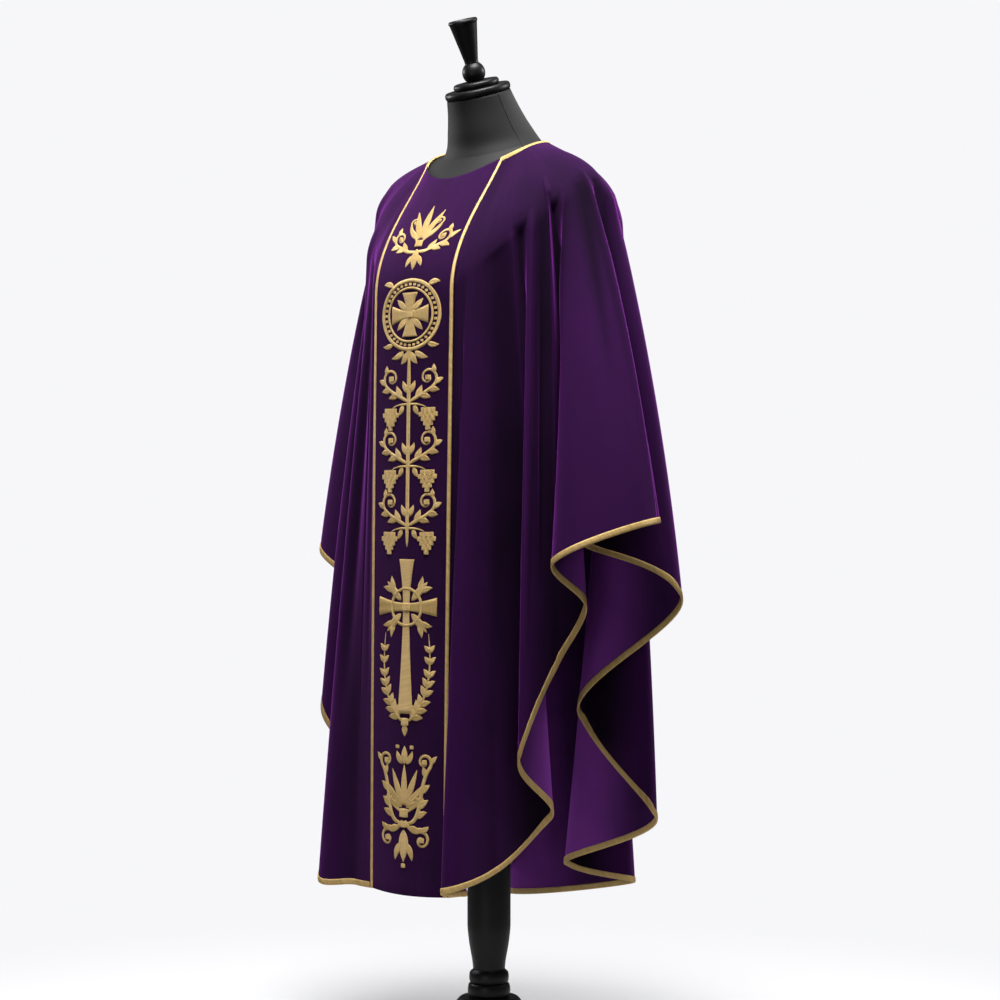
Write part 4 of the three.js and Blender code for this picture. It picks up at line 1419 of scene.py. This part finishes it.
@dataclass
class Studio:
    """Pale floor, soft lights and the camera at the photograph's angle."""

    azimuth: float = 42
    distance: float = 4.3
    height: float = 0.946
    lens: float = 89.17
    shift: Pair = (0.011, 0.010)
    aim_height: float = 1.1
    floor_radii: tuple[float, ...] = (0.5, 2, 5, 14)
    floor_segments: int = 96
    floor_fades: Pair = (0.3, 1.6)
    floor_colour: tuple = (0.60, 0.60, 0.61, 1)
    backdrop: tuple = (0.930, 0.930, 0.947, 1)
    cast_strength: float = 0.1

    def camera(self) -> None:
        """Level camera that looks across the stand's axis."""
        data = bpy.data.cameras.new("camera")
        data.lens = self.lens
        data.sensor_width = 36
        data.shift_x, data.shift_y = self.shift
        data.clip_end = 60
        camera = bpy.data.objects.new("camera", data)
        a = np.radians(self.azimuth)
        camera.location = (self.distance * np.sin(a), -self.distance * np.cos(a), self.height)
        camera.rotation_euler = (np.pi / 2, 0, a)
        bpy.context.scene.collection.objects.link(camera)
        bpy.context.scene.camera = camera

    def seen_and_cast(self, graph: Graph, kind: str) -> Node:
        """Node of the given kind that is bright to the camera and dimmer as a light."""
        seen = graph.add("ShaderNodeLightPath").outputs["Is Camera Ray"]
        strength = graph.add("ShaderNodeMapRange", Value=seen, To_Min=self.cast_strength)
        return graph.add(kind, Color=self.backdrop, Strength=strength.outputs["Result"])

    def world(self) -> None:
        """Even near-white surroundings that light the cloth only a little."""
        world = bpy.data.worlds.new("studio")
        world.use_nodes = True
        graph = Graph(world.node_tree)
        light = self.seen_and_cast(graph, "ShaderNodeBackground")
        graph.add("ShaderNodeOutputWorld", Surface=light.outputs["Background"])
        bpy.context.scene.world = world
        bpy.context.scene.view_settings.view_transform = "Standard"

    def floor(self) -> None:
        """Disc whose far part has the surroundings' own light, so that no edge shows."""
        turn = np.linspace(0, 2 * np.pi, self.floor_segments, endpoint=False)
        radii = np.array(self.floor_radii)[:, None]
        level = np.full((len(radii), len(turn)), -MM)
        points = np.stack([radii * np.cos(turn), radii * np.sin(turn), level], -1)
        number = np.arange(level.size).reshape(level.shape)
        quads = np.stack([number[:-1], number[1:], np.roll(number[1:], -1, 1),
                          np.roll(number[:-1], -1, 1)], -1).reshape(-1, 4)
        mesh = bpy.data.meshes.new("floor")
        mesh.from_pydata(points.reshape(-1, 3).tolist(), [],
                         quads.tolist() + [number[0].tolist()])
        mesh.update()
        material, graph = new_material("pale_floor")
        place = graph.add("ShaderNodeTexCoord").outputs["Object"]
        reach = graph.add("ShaderNodeVectorMath", {"operation": "LENGTH"}, _0=place)
        far = graph.eased(reach.outputs["Value"], *self.floor_fades)
        near = graph.add("ShaderNodeBsdfPrincipled", Base_Color=self.floor_colour,
                         Roughness=0.85)
        glow = self.seen_and_cast(graph, "ShaderNodeEmission")
        mix = graph.add("ShaderNodeMixShader", _0=far, _1=near.outputs["BSDF"],
                        _2=glow.outputs["Emission"])
        graph.add("ShaderNodeOutputMaterial", Surface=mix.outputs["Shader"])
        mesh.materials.append(material)
        floor = bpy.data.objects.new("floor", mesh)
        bpy.context.scene.collection.objects.link(floor)

    def lamp(self, name: str, azimuth: float, height: float, distance: float, size: float,
             power: float) -> None:
        """Square soft light that faces the middle of the garment.

        Args:
            name: its name.
            azimuth: direction round the object, as the camera's.
            height: metres over the floor.
            distance: metres from the axis.
            size: length of its side.
            power: watts.
        """
        data = bpy.data.lights.new(name, "AREA")
        data.size = size
        data.energy = power
        lamp = bpy.data.objects.new(name, data)
        a = np.radians(azimuth)
        lamp.location = (distance * np.sin(a), -distance * np.cos(a), height)
        lamp.rotation_euler = (np.arctan2(distance, height - self.aim_height), 0, a)
        bpy.context.scene.collection.objects.link(lamp)

    def build(self) -> None:
        """Sets everything up."""
        self.camera()
        self.world()
        self.floor()
        self.lamp("key_top", 24, 3.6, 0.95, 0.9, 135)
        self.lamp("overhead", 70, 3.4, 0.6, 1.0, 95)
        self.lamp("rim_left", -78, 2.2, 3.0, 0.8, 45)
        self.lamp("rim_right", 150, 2.7, 3.2, 0.9, 70)
        self.lamp("fill_low", 20, 0.8, 4.2, 1.4, 20)


@dataclass
class Chasuble:
    """The whole garment: velvet, trim and embroidery."""

    velvet: Material
    reverse: Material
    thread: Material
    braid: Material
    stitched: Material
    folds: FoldedCloth = field(default_factory=FoldedCloth)
    band: BandCloth = field(default_factory=BandCloth)
    braid_reach: float = 0.13
    neck_binding_width: float = 7

    def build(self) -> None:
        """Panels, then what lies on them, then logs the area that each panel measures."""
        left, right = fold_number("wrist_left"), fold_number("wrist_right")
        last = self.folds.most
        panels = {
            "band": Panel("velvet_band", "band_front", self.band, -1, 1, (0.18, 1.26), 0.22,
                          columns_per_fold=20),
            "left": Panel("velvet_front_left", "front_left", self.folds, 0, left,
                          (0.66, 1.27), 0.49),
            "back": Panel("velvet_back", "back", self.folds, left, right,
                          (1.60, 1.38), 1.5, 17),
            "right": Panel("velvet_front_right", "front_right", self.folds, right, last,
                           (0.66, 1.27), 0.44),
        }
        pieces = {key: panel.build(self.velvet, self.reverse) for key, panel in panels.items()}
        near = self.braid_reach
        hem = [("left", near, left), ("back", left, right), ("right", right, last - near)]
        trims = {key: Binding(f"binding_{panels[key].node}", f"hem_binding_{panels[key].node}",
                              self.folds, start, end, True).build(self.thread)
                 for key, start, end in hem}
        neck = Binding("binding_neck", "neck_binding", self.folds, near, last - near,
                       False, self.neck_binding_width).build(self.thread)
        braids = [Braid(f"seam_{node}", node, self.band, self.folds, side).build(self.braid)
                  for node, side in (("braid_left", 1), ("braid_right", -1))]
        motifs = {"cresting": Cresting().strokes(), "medallion": Medallion().strokes(),
                  "vine": Vine().strokes(), "cross": TallCross().strokes(),
                  "foot": Foot().strokes()}
        sewn = Embroidery(self.band).build(motifs, self.stitched)
        for key, piece in pieces.items():
            log.info("%s measures %.3f m2", piece.name,
                     sum(face.area for face in piece.data.polygons) / 2)


def main() -> None:
    """Builds the studio, the garment, the form and its stand."""
    logging.basicConfig(level=logging.INFO, format="%(message)s")
    cloudy = cloudy_group()
    threads = thread_group()
    Studio().build()
    cover, lacquer = JERSEY.material(cloudy), LACQUER.material(cloudy)
    form = DressForm(BandCloth(), FoldedCloth())
    form.build(cover)
    form.seam(cover)
    for part in Stand(form).parts():
        part.build(lacquer)
    Chasuble(
        velvet=VelvetFinish().material(cloudy),
        # The reverse is far lighter than the face: partly the backing's own smoother, lighter
        # finish, partly painted light on the inner folds.
        reverse=VelvetFinish("velvet_reverse_and_painted_light", (0.020, 0.0040, 0.034, 1),
                             (0.165, 0.0330, 0.245, 1), sheen=0.2,
                             sheen_roughness=0.5).material(cloudy),
        thread=ThreadFinish("gold_binding_thread", 0.5, 5200.0).material(threads),
        braid=ThreadFinish("gold_braid_thread", 0.8, 3600.0).material(threads),
        stitched=ThreadFinish("gold_satin_stitch", 0.25, 6200.0).material(threads),
    ).build()


if __name__ == "__main__":
    main()
